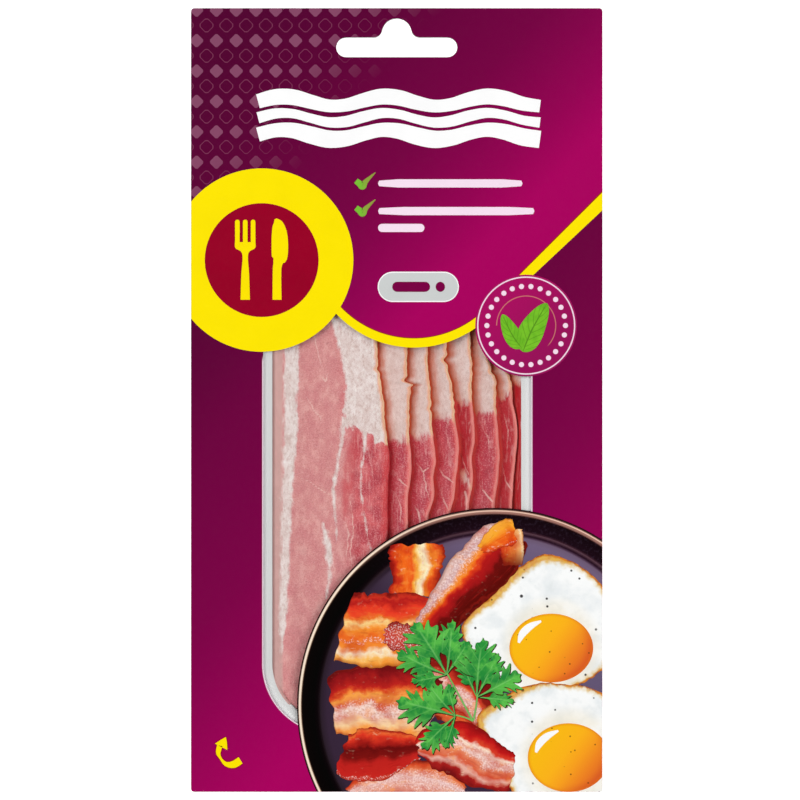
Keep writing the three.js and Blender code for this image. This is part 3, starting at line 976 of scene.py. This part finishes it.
def makeArrow(yellow, darkRed):
    for name, layer, grow, material in (("Rim", 1, arrow["rim"], darkRed), ("", 2, 0, yellow)):
        for part, cells in (("Tail", (60, 3)), ("Head", (12, 3))):
            points = [(x, y, half + grow) for x, y, half in arrow[part.lower()]]
            layField(ribbon(points, cells), "peelArrow" + part + name, layer, material)


# The serving picture: a dark plate with rashers, eggs and a herb, in simple printed shapes
plate = {"x": 26.2, "y": -81.7, "radius": 52.85}


def plateFinish():
    finish = Finish("platePrint")
    x, y = finish.axes(plate["x"], plate["y"])
    reach = (x * x + y * y) ** 0.5
    turn = x.maths("ARCTAN2", y, x)
    shore = ((turn - 0.9).cosine() * 0.5 + 0.5).rise(0.5, 0.92)  # 1 at the upper right, where the rim is wide
    leftStops = (
        (36, 56, 40, 62), (44.8, 54, 37, 56), (46.5, 42, 29, 40), (46.9, 24, 13, 18),
        (47.4, 8, 1, 4), (48.4, 2, 1, 1), (51.5, 6, 1, 1), (51.72, 96, 64, 50),
        (51.92, 248, 226, 200), (52.3, 254, 234, 214), (52.48, 110, 74, 62), (52.62, 8, 2, 2),
    )
    rightStops = (
        (36, 100, 86, 116), (44, 112, 94, 124), (45.3, 108, 88, 112), (45.6, 82, 58, 80),
        (45.9, 48, 24, 42), (46.2, 34, 10, 26), (46.5, 64, 38, 50), (46.85, 88, 60, 70),
        (47.1, 54, 26, 38), (47.5, 26, 6, 18), (50.8, 16, 2, 8), (51.1, 34, 6, 6),
        (51.35, 132, 90, 82), (51.6, 168, 120, 106), (51.8, 150, 100, 88), (52.02, 244, 204, 184),
        (52.14, 240, 198, 176), (52.32, 110, 72, 62), (52.55, 28, 6, 10),
    )
    base = finish.mix(shore, reach.ramp(leftStops, 36, 52.8), reach.ramp(rightStops, 36, 52.8))
    speckle = finish.grain(0.8, 3).rise(0.5, 0.68)
    return finish.inked(finish.over(base, (speckle * shore * 0.03, 150, 120, 160)), 0.24)


def makePlate():
    disc = addDisc((plate["x"], plate["y"]), lambda turn: plate["radius"], 256)
    layField(disc, "plateField", 1, plateFinish())


def rasherFinish(rasher):
    finish = Finish(rasher["name"] + "Print")
    seed = rasher["seed"]
    along, across = finish.run()
    drift = finish.grain(6, 3, shift=seed) - 0.5
    ripple = finish.grain(2.2, 3, shift=seed + 2) - 0.5
    fine = finish.grain(0.45, 2, shift=seed)
    folds = (along * rasher["folds"] * 6.283 + drift * 6 + across * 1.2).sine()
    place = across + drift * 0.22 + ripple * 0.18 + folds * 0.035
    base = place.ramp(rasher["stops"])
    lit = finish.green(base).rise(0.008, 0.1)  # 0 on the dark parts
    streak = finish.weave(5, 16, seed)
    isPale = abs((place - rasher["fatAt"]) / rasher["fatHalf"]).fall(0.6, 1.1)
    shade = (folds * 0.5 + 0.5) * finish.grain(4, 2, shift=seed + 3).rise(0.38, 0.62)
    glow = (0.5 - folds * 0.5) * finish.grain(3, 3, (1, 1.4, 1), seed + 5).rise(0.5, 0.68)
    glint = finish.grain(1.6, 4, (1, 1.5, 1), seed + 7).rise(0.62, 0.76)
    rimShade = abs(across - 0.5).rise(0.44, 0.5).most(abs(along - 0.5).rise(0.475, 0.5))
    base = finish.over(
        base,
        (streak.rise(0.54, 0.72) * 0.3 * lit, 255, 176, 92),
        (streak.rise(0.56, 0.74) * 0.4 * (1 - lit), 190, 36, 30),
        (streak.fall(0.3, 0.46) * 0.3, 150, 16, 12),
        (isPale * fine.rise(0.5, 0.62) * 0.65, 252, 226, 220),
        (isPale * fine.fall(0.36, 0.5) * 0.35, 196, 110, 84),
        (shade * 0.5 * lit, 196, 30, 16),
        (glow * lit * 0.5, 255, 158, 62),
        (glint * (lit * 0.8 + 0.2) * 0.4, 255, 226, 190),
    )
    if "duskFrom" in rasher:  # one end lies in shade
        base = finish.over(base, (along.rise(rasher["duskFrom"], 1.0) * 0.9, 112, 14, 10))
    return finish.inked(finish.over(base, (rimShade * 0.5, 116, 22, 10)), 0.24)


rashers = (  # places with half widths, and the colours from one long side to the other
    {
        "name": "rasherUnder", "layer": 1.3, "seed": 6.2, "folds": 1.8, "fatAt": 0.5, "fatHalf": 0.06,
        "points": ((-6, -70.6, 5.0), (2, -72, 6.4), (10, -74.6, 8.0), (17, -79, 8.6), (23, -86, 7.6)),
        "stops": ((0, 120, 20, 14), (0.3, 196, 60, 30), (0.6, 150, 30, 20), (1, 96, 12, 12)),
    },
    {
        "name": "rasherUpper", "layer": 1.6, "seed": 0.1, "folds": 1.2, "fatAt": 0.6, "fatHalf": 0.02,
        "points": ((5.0, -38.6, 7.0), (5.2, -42, 7.4), (5.0, -46, 6.6), (4.6, -52.4, 6.4)),
        "stops": (
            (0, 150, 20, 14), (0.1, 206, 50, 24), (0.24, 244, 106, 26), (0.4, 238, 92, 28),
            (0.48, 250, 176, 66), (0.56, 255, 232, 168), (0.68, 255, 244, 204), (0.76, 250, 150, 46),
            (0.86, 234, 86, 26), (1, 170, 40, 20),
        ),
    },
    {
        "name": "rasherMiddle", "layer": 1.9, "seed": 3.3, "folds": 2.0, "fatAt": 0.6, "fatHalf": 0.2,
        "points": ((4, -74.6, 4.6), (10, -76.6, 6.2), (16, -80.2, 6.4), (22, -86.4, 4.4)),
        "stops": (
            (0, 226, 120, 70), (0.2, 232, 96, 44), (0.34, 172, 34, 24), (0.5, 224, 150, 130),
            (0.66, 242, 204, 194), (0.82, 214, 60, 40), (1, 140, 24, 16),
        ),
    },
    {
        "name": "rasherLeft", "layer": 2.8, "seed": 0.9, "folds": 1.6, "fatAt": 0.34, "fatHalf": 0.03,
        "points": ((-14.3, -60.2, 9.2), (-9.5, -61.4, 9.8), (-4, -61.6, 9.9), (2, -61.0, 9.3), (10, -60.0, 7.6)),
        "stops": (
            (0, 244, 150, 50), (0.1, 252, 190, 96), (0.17, 254, 236, 200), (0.24, 246, 142, 52),
            (0.4, 238, 106, 34), (0.5, 248, 150, 50), (0.57, 254, 216, 140), (0.63, 238, 120, 44),
            (0.7, 238, 74, 38), (0.8, 232, 58, 36), (0.9, 180, 28, 26), (0.95, 206, 48, 32), (1, 120, 16, 16),
        ),
    },
    {
        "name": "rasherLow", "layer": 2.2, "seed": 1.4, "folds": 2.2, "fatAt": 0.4, "fatHalf": 0.12,
        "points": (
            (-17.4, -81.8, 7.4), (-13.2, -81.0, 9.2), (-7, -80.6, 9.8), (-1, -80.8, 10.0), (5, -81.6, 9.6),
            (10, -83, 8),
        ),
        "stops": (
            (0, 240, 112, 40), (0.1, 250, 164, 80), (0.2, 252, 214, 160), (0.32, 240, 190, 168),
            (0.4, 250, 222, 208), (0.48, 226, 112, 76), (0.58, 250, 166, 74), (0.65, 224, 80, 38),
            (0.72, 190, 34, 28), (0.86, 146, 20, 24), (0.94, 120, 14, 18), (1, 96, 12, 14),
        ),
    },
    {
        "name": "rasherGrainy", "layer": 4, "seed": 4.2, "folds": 1.0, "fatAt": 0.5, "fatHalf": 0.5,
        "points": ((-3.2, -62.6, 2.2), (-0.6, -63.2, 3.6), (3, -64.2, 3.8), (6.6, -66.2, 3.4)),
        "stops": ((0, 150, 24, 26), (0.3, 196, 50, 44), (0.6, 204, 64, 52), (1, 140, 20, 22)),
    },
    {
        "name": "rasherFold", "layer": 4.3, "seed": 0.5, "folds": 1.3, "fatAt": 0.14, "fatHalf": 0.16,
        "points": (
            (31.2, -35.4, 5.0), (28.6, -38.4, 6.8), (25.4, -41.8, 7.6), (21.6, -46.2, 7.4), (16.6, -51.6, 6.2),
            (12.0, -57.0, 5.4), (8.4, -61.4, 4.4),
        ),
        "stops": (
            (0, 226, 190, 180), (0.16, 218, 184, 186), (0.25, 246, 150, 66), (0.31, 248, 132, 36),
            (0.37, 228, 62, 24), (0.46, 182, 24, 24), (0.58, 160, 20, 22), (0.66, 108, 12, 10),
            (0.92, 88, 8, 4), (0.97, 120, 22, 14), (1, 84, 10, 8),
        ),
    },
    {
        "name": "rasherFlap", "layer": 4.5, "ragged": 0.3, "duskFrom": 0.45, "seed": 7.4, "folds": 0.8, "fatAt": 0.9,
        "fatHalf": 0.02,
        "points": ((30.2, -34.8, 3.4), (30.6, -38.0, 3.3), (30.9, -41.0, 3.0), (31.0, -44.2, 2.6)),
        "stops": (
            (0, 206, 50, 22), (0.3, 232, 92, 36), (0.6, 236, 130, 62), (0.84, 246, 184, 116),
            (0.94, 255, 226, 170), (1, 244, 180, 120),
        ),
    },
    {
        "name": "rasherTip", "layer": 4.8, "ragged": 0.6, "seed": 5.1, "folds": 1.2, "fatAt": 0.9, "fatHalf": 0.02,
        "points": ((31.6, -35.2, 3.4), (29.0, -35.6, 3.6), (26.0, -37.4, 2.8), (22.6, -40.0, 1.2)),
        "stops": (
            (0, 250, 176, 60), (0.3, 252, 168, 44), (0.55, 244, 112, 26), (0.8, 238, 90, 24),
            (1, 206, 60, 22),
        ),
    },
    {
        "name": "rasherCorner", "layer": 3.7, "seed": 1.9, "folds": 1.4, "fatAt": 0.06, "fatHalf": 0.04,
        "points": (
            (-14.6, -94.0, 5.2), (-11.4, -95.0, 7.0), (-6.4, -94.8, 7.2), (-0.6, -93.8, 5.8), (5.8, -93.2, 3.0),
        ),
        "stops": (
            (0, 214, 60, 40), (0.12, 200, 36, 30), (0.3, 190, 32, 28), (0.44, 124, 16, 14),
            (0.62, 104, 10, 10), (0.72, 168, 28, 22), (0.85, 224, 54, 34), (0.95, 238, 104, 50), (1, 190, 50, 30),
        ),
    },
    {
        "name": "rasherFront", "layer": 4.6, "seed": 2.3, "folds": 1.6, "fatAt": 0.56, "fatHalf": 0.14,
        "points": (
            (5.6, -92.8, 2.2), (9.4, -92.2, 5.4), (15.4, -93.0, 7.2), (22, -96.4, 7.2), (27.6, -98.8, 6.0),
            (31.2, -99.6, 5.2),
        ),
        "stops": (
            (0, 120, 14, 18), (0.14, 170, 30, 28), (0.24, 236, 180, 164), (0.32, 222, 96, 62),
            (0.44, 232, 134, 98), (0.54, 244, 210, 200), (0.64, 236, 176, 160), (0.7, 255, 236, 216),
            (0.77, 222, 60, 40), (0.88, 196, 24, 24), (1, 150, 14, 18),
        ),
    },
    {
        "name": "rasherEdge", "layer": 2.5, "seed": 2.9, "folds": 1.8, "fatAt": 0.5, "fatHalf": 0.3,
        "points": ((-13.2, -104.8, 1.6), (-7, -103.0, 3.4), (1, -101.2, 5.0), (9.6, -102.0, 5.6), (18, -105.2, 2.2)),
        "stops": (
            (0, 200, 70, 50), (0.3, 238, 170, 150), (0.55, 240, 200, 196), (0.75, 238, 130, 80),
            (0.9, 220, 80, 40), (1, 130, 26, 20),
        ),
    },
)


def makeRashers():
    for rasher in rashers:
        seed, ragged = rasher["seed"], rasher.get("ragged", 1)

        def edge(u, v):  # wavy long sides
            side = 1 if v > 0.5 else -1
            near = ragged * abs(v * 2 - 1) ** 2
            wave = 0.9 * wobble(u * 18, side * 4, 2.6, seed) + 0.45 * wobble(u * 18, side * 4, 0.9, seed)
            return near * side * wave

        def end(u, v):  # ragged short ends
            near = ragged * smoothStep(0.38, 0.5, abs(u - 0.5))
            return near * 1.1 * wobble(v * 9, seed * 3, 1.6, seed)

        piece = ribbon(rasher["points"], (110, 20), edge, end)
        layField(piece, rasher["name"], rasher["layer"], rasherFinish(rasher))


eggs = (  # radii go round from the right, leftwards over the top
    {
        "name": "eggUpper", "layer": 3.1, "crustTurn": 122, "x": 38.5, "y": -61.0, "seed": 3, "yolkX": 41.3,
        "yolkY": -66.3, "yolkWidth": 11.2,
        "radii": (
            20, 20, 20, 19.8, 19.6, 19.9, 19.5, 17.6, 16.5, 15.9, 16.0, 18.6, 21.2, 20.2, 19.6, 19.6, 19, 18, 18, 18,
            18, 19, 20, 20,
        ),
    },
    {
        "name": "eggLower", "layer": 3.4, "crustTurn": 158, "x": 45.0, "y": -98.0, "seed": 8, "yolkX": 45.9,
        "yolkY": -95.6, "yolkWidth": 10.9,
        "radii": (
            21, 21, 21, 21.4, 21.8, 22, 22, 23.2, 24.1, 25.2, 26.8, 22.5, 17.5, 16, 16, 17, 18, 18, 18, 19, 20, 20,
            20, 21,
        ),
    },
)
yolk = {"height": 9.2, "glint": ((-8.7, 1.4, 0.3), (-7.7, 3.8, 0.95), (-5.6, 5.8, 0.9), (-2.7, 7.2, 0.25))}


def eggReach(egg, turn):
    share = (turn / (2 * math.pi)) % 1
    looped = egg["radii"] + egg["radii"][:1]
    smooth = alongPoints([(radius,) for radius in looped], share)[0]
    return smooth + 0.4 * wobble(math.cos(turn) * 12, math.sin(turn) * 12, 1.0, egg["seed"])


def eggFinish(egg):
    finish = Finish(egg["name"] + "Print")
    x, y = finish.axes(egg["yolkX"], egg["yolkY"])
    rimGap = finish.fact("rimGap")
    cloud = finish.grain(6, 4, shift=egg["seed"])
    soft = finish.grain(2.4, 4, shift=egg["seed"] + 2)
    crust = finish.grain(1.3, 4, shift=egg["seed"] + 1)
    turn = x.maths("ARCTAN2", y, x)
    wide = (turn - math.radians(egg["crustTurn"])).cosine().rise(0.55, 0.98)  # 1 where the crust is widest
    warm = ((x * x + y * y) ** 0.5).fall(10, 15)
    reach = rimGap + (crust - 0.5) * 2.2 - wide * 1.5
    spotted = crust.rise(0.4, 0.6)
    light = finish.mix(spotted, ink(226, 176, 66), ink(214, 142, 48))
    dark = finish.mix(spotted, ink(216, 128, 40), ink(156, 66, 20))
    base = finish.mix(cloud.rise(0.42, 0.7), ink(253, 254, 253), ink(236, 240, 241))
    base = finish.over(
        base,
        (soft.rise(0.5, 0.74) * 0.3, 216, 222, 222),
        (warm * (cloud + 0.1).rise(0.3, 0.6) * 0.4, 240, 224, 186),
        (reach.fall(0.1, 2.0) * 0.8, 228, 196, 120),
    )
    base = finish.mix(reach.fall(0.0, 0.9) * 0.85, base, light)
    base = finish.mix((rimGap + (crust - 0.5) * 1.2).fall(0.1, 0.8), base, dark)
    pepper = finish.specks(2.1, 0.4, 0.26).most(finish.specks(3.3, 0.56, 0.2))
    return finish.inked(finish.over(base, (pepper * 0.95, 34, 28, 30)), 0.22)


def yolkFinish(egg):
    finish = Finish(egg["name"] + "YolkPrint")
    x, y = finish.axes(egg["yolkX"], egg["yolkY"])
    slope = (x * 0.8 - y * 0.6) / 11
    reach = ((x / egg["yolkWidth"]) ** 2 + (y / yolk["height"]) ** 2) ** 0.5
    stops = ((0, 252, 190, 18), (0.4, 254, 180, 26), (0.62, 250, 160, 30), (0.82, 240, 130, 34), (1, 222, 92, 38))
    base = finish.over(
        slope.rise(-1.1, 1.2).ramp(stops),
        (reach.rise(0.72, 1.0) * slope.rise(0.1, 0.9) * 0.75, 214, 82, 36),
        (reach.rise(0.9, 1.0) * 0.5, 226, 120, 20),
        (finish.specks(1.7, 0.28, 0.42) * 0.85, 96, 60, 20),
    )
    return finish.inked(base, 0.22)


def makeEggs(white):
    for egg in eggs:
        def spot(u, v):
            turn = u * 2 * math.pi
            reach = eggReach(egg, turn) * v
            return flat(egg["x"] + reach * math.cos(turn), egg["y"] + reach * math.sin(turn))

        piece = addPatch(spot, (220, 16))
        gaps = []
        for vertex in piece.data.vertices:
            dx, dy = vertex.co.x / mm - egg["x"], vertex.co.y / mm - egg["y"]
            gaps.append(eggReach(egg, math.atan2(dy, dx)) - math.hypot(dx, dy))
        storeFacts(piece, {"rimGap": gaps})
        weld(piece, 0.01)
        layField(piece, egg["name"], egg["layer"], eggFinish(egg))

        x, y, wide, high = egg["yolkX"], egg["yolkY"], egg["yolkWidth"], yolk["height"]
        disc = addDisc((x, y), lambda turn: 1 / math.hypot(math.cos(turn) / wide, math.sin(turn) / high), 96)
        layField(disc, egg["name"] + "Yolk", 4, yolkFinish(egg))
        layField(ribbon(moved(yolk["glint"], x, y), (24, 3)), egg["name"] + "Glint", 5, white)


herb = {  # each sprig is a foot with its leaflets, as the heading in degrees, the length and the width
    "sprigs": (
        (13.35, -73.4, ((194, 9.6, 0.8), (56, 10.8, 0.9), (160, 14.8, 0.8), (82, 14.8, 0.72), (119, 17.0, 0.86))),
        (21.4, -79.4, ((-4, 10.2, 0.7), (115, 11.8, 0.7), (63, 13.0, 0.8), (27, 13.6, 0.84), (89, 15.8, 0.82))),
        (15.7, -84.4, ((253, 9.2, 0.9), (106, 8.8, 0.7), (222, 12.8, 0.84), (135, 11.8, 0.76), (164, 16.2, 0.8))),
    ),
    "outline": (  # half a leaflet from foot to tip, along and across, for a length of 1
        (0, 0.01), (0.2, 0.025), (0.34, 0.07), (0.38, 0.2), (0.48, 0.32), (0.51, 0.23), (0.62, 0.37), (0.61, 0.22),
        (0.56, 0.12), (0.65, 0.2), (0.75, 0.32), (0.77, 0.22), (0.9, 0.28), (0.84, 0.16), (0.78, 0.08), (0.88, 0.12),
        (0.94, 0.11), (0.95, 0.04), (1, 0),
    ),
    "vertices": 240, "bend": 0.16,
    "stems": (  # places and half widths
        ((20.4, -85.8, 0.26), (17, -79.6, 0.2), (13.4, -73.0, 0.2)),
        ((20.5, -85.6, 0.26), (21.2, -82, 0.2), (21.6, -78.6, 0.2)),
        ((20.4, -85.8, 0.26), (18.4, -84.9, 0.2), (15.8, -84.2, 0.2)),
    ),
}


def addLeaflet(footX, footY, leaflet, size, level):  # a leaflet with lobes on both sides, a little uneven
    heading, length, width = leaflet
    along = math.radians(heading)
    bpy.ops.object.select_all(action="DESELECT")
    bpy.ops.mesh.primitive_circle_add(vertices=herb["vertices"], radius=1, fill_type="NGON")
    leaf = bpy.context.object
    facts = {"leafAlong": [], "leafAcross": []}
    for i, vertex in enumerate(leaf.data.vertices):
        share = i / (herb["vertices"] / 2)
        side = 1 if share <= 1 else -1
        run, reach = alongPoints(herb["outline"], share if side > 0 else 2 - share)
        run *= 1 + 0.06 * wobble(run * 3, heading, 1.3, side + 2)
        reach *= side * width * (1 + 0.5 * wobble(run * 4, heading + side * 3, 1.1, 5))
        facts["leafAlong"].append(run)
        facts["leafAcross"].append(reach)
        reach += herb["bend"] * wobble(heading, length, 1.7, 6) * run ** 2
        run, reach = 0.5 + (run - 0.5) * size, reach * size
        x = footX + (math.cos(along) * run - math.sin(along) * reach) * length
        y = footY + (math.sin(along) * run + math.cos(along) * reach) * length
        vertex.co = (x * mm, y * mm, level * mm)
    storeFacts(leaf, facts)
    if leaf.data.polygons[0].normal.z < 0:
        leaf.data.flip_normals()
    return leaf


def addSprig(sprig, size, shiftX, shiftY):  # the leaflets as one piece, each a hair higher than the one before
    footX, footY, leaflets = sprig
    pieces = [
        addLeaflet(footX + shiftX, footY + shiftY, leaflet, size, 0.003 * i) for i, leaflet in enumerate(leaflets)
    ]
    bpy.ops.object.select_all(action="DESELECT")
    for leaf in pieces:
        leaf.select_set(True)
    bpy.context.view_layer.objects.active = pieces[0]
    bpy.ops.object.join()
    return bpy.context.object


def herbFinish():
    finish = Finish("herbPrint")
    along, across = finish.fact("leafAlong"), finish.fact("leafAcross")
    tone = finish.grain(3.0, 3)
    fine = finish.grain(0.8, 2)
    base = finish.mix((tone + (fine - 0.5) * 0.3).rise(0.38, 0.62), ink(42, 146, 58), ink(90, 188, 74))
    base = finish.over(
        base,
        (across.rise(-0.01, 0.05) * 0.35, 20, 116, 54),
        (abs(across).rise(0.1, 0.26) * 0.4, 110, 202, 88),
        (along.fall(0.25, 0.6) * 0.3, 18, 110, 52),
    )
    vein = abs(across).fall(0.004, 0.022) * along.fall(0.7, 0.9)
    ribs = abs((along - abs(across) * 1.3).cell(0.2)).fall(0.004, 0.018)
    base = finish.over(base, (vein.most(ribs * 0.5) * 0.4, 136, 212, 120))
    return finish.inked(base, 0.26)


def makeHerb():
    green = herbFinish()
    shadow = printed("herbShadow", ink(52, 34, 14), 0.2)
    for i, sprig in enumerate(herb["sprigs"]):
        layField(addSprig(sprig, 1.02, 0.16, -0.24), "sprigShadow%d" % (i + 1), 5.0 + 0.55 * i, shadow)
        layField(addSprig(sprig, 1, 0, 0), "sprig%d" % (i + 1), 5.25 + 0.55 * i, green)
    stemGreen = printed("herbStem", ink(120, 188, 96))
    for i, points in enumerate(herb["stems"]):
        layField(ribbon(points, (16, 2)), "herbStem%d" % (i + 1), 6.55 + 0.1 * i, stemGreen)


# The surroundings
lights = {"size": 0.7, "height": 0.75, "places": (("softLeft", -0.75, 0.15, 7.1), ("softRight", 0.75, 0.05, 5.7))}
view = {"lens": 135, "sensor": 36, "shownWidth": 213.85, "x": 0.87}  # the width is what the picture takes in


def makeStage():
    bpy.ops.object.select_all(action="DESELECT")
    bpy.ops.mesh.primitive_plane_add(size=6, location=(0, 0, -0.1 * mm))
    floor = bpy.context.object
    floor.name = "paleFloor"
    finish = Finish("floorPaper")
    tone = finish.mix(finish.grain(60, 2).rise(0.3, 0.7), (0.93, 0.93, 0.93, 1), (0.9, 0.9, 0.9, 1))
    floor.data.materials.append(finish.close({
        "Base Color": tone,
        "Roughness": 0.9,
        "Emission Color": (1, 1, 1, 1),
        "Emission Strength": 0.55,
    }))

    world = bpy.data.worlds.new("softRoom")
    bpy.context.scene.world = world
    sky = Finish("softRoom", world)
    spot = sky.node("ShaderNodeTexCoord", {}, {}, "Generated")
    height = sky.node("ShaderNodeSeparateXYZ", {}, {0: spot}, "Z")
    glow = sky.node("ShaderNodeBackground", {}, {"Strength": height.fall(0.8, 0.96) * 0.5})
    sky.node("ShaderNodeOutputWorld", {}, {"Surface": glow})

    for name, x, y, power in lights["places"]:
        bpy.ops.object.select_all(action="DESELECT")
        bpy.ops.object.light_add(type="AREA", location=(x, y, lights["height"]))
        light = bpy.context.object
        light.name = name
        light.data.shape = "SQUARE"
        light.data.size = lights["size"]
        light.data.energy = power
        aim = Vector((0, 0, 0)) - light.location
        light.rotation_euler = aim.to_track_quat("-Z", "Y").to_euler()


def makeCamera():
    height = sheet["base"] * mm + view["shownWidth"] * mm * view["lens"] / view["sensor"]
    bpy.ops.object.select_all(action="DESELECT")
    bpy.ops.object.camera_add(location=(view["x"] * mm, 0, height), rotation=(0, 0, 0))
    camera = bpy.context.object
    camera.name = "frontCamera"
    camera.data.lens = view["lens"]
    camera.data.sensor_width = view["sensor"]
    camera.data.clip_start = 0.01
    bpy.context.scene.camera = camera


scene = bpy.context.scene
scene.view_settings.view_transform = "Standard"
makeCamera()
makeStage()
print("stage done")
makeWeb()
makeFilm()
print("web and film done")
meat = meatFinish()
for sliceIndex in range(len(pile["edges"])):
    makeSlice(sliceIndex, meat)
print("slices done")
makeSheet()
yellowInk = printed("yellowInk", ink(254, 230, 0), 0.03)
whiteInk = printed("whiteInk", ink(255, 255, 255), 0.03)
pinkInk = printed("pinkWhiteInk", ink(248, 226, 242), 0.03)
greyInk = printed("greyInk", ink(206, 209, 208), 0.03)
purpleInk = printed("purpleInk", ink(122, 0, 68))
darkRedInk = printed("darkRedInk", ink(152, 0, 38))
makeBand()
makeRoundel(yellowInk, darkRedInk)
makeBadge()
makeTitle(whiteInk)
makeLabels(whiteInk, pinkInk, greyInk, purpleInk)
makeTicks()
makeArrow(yellowInk, darkRedInk)
print("printed fields done")
makePlate()
makeRashers()
makeEggs(whiteInk)
makeHerb()
print("serving picture done")
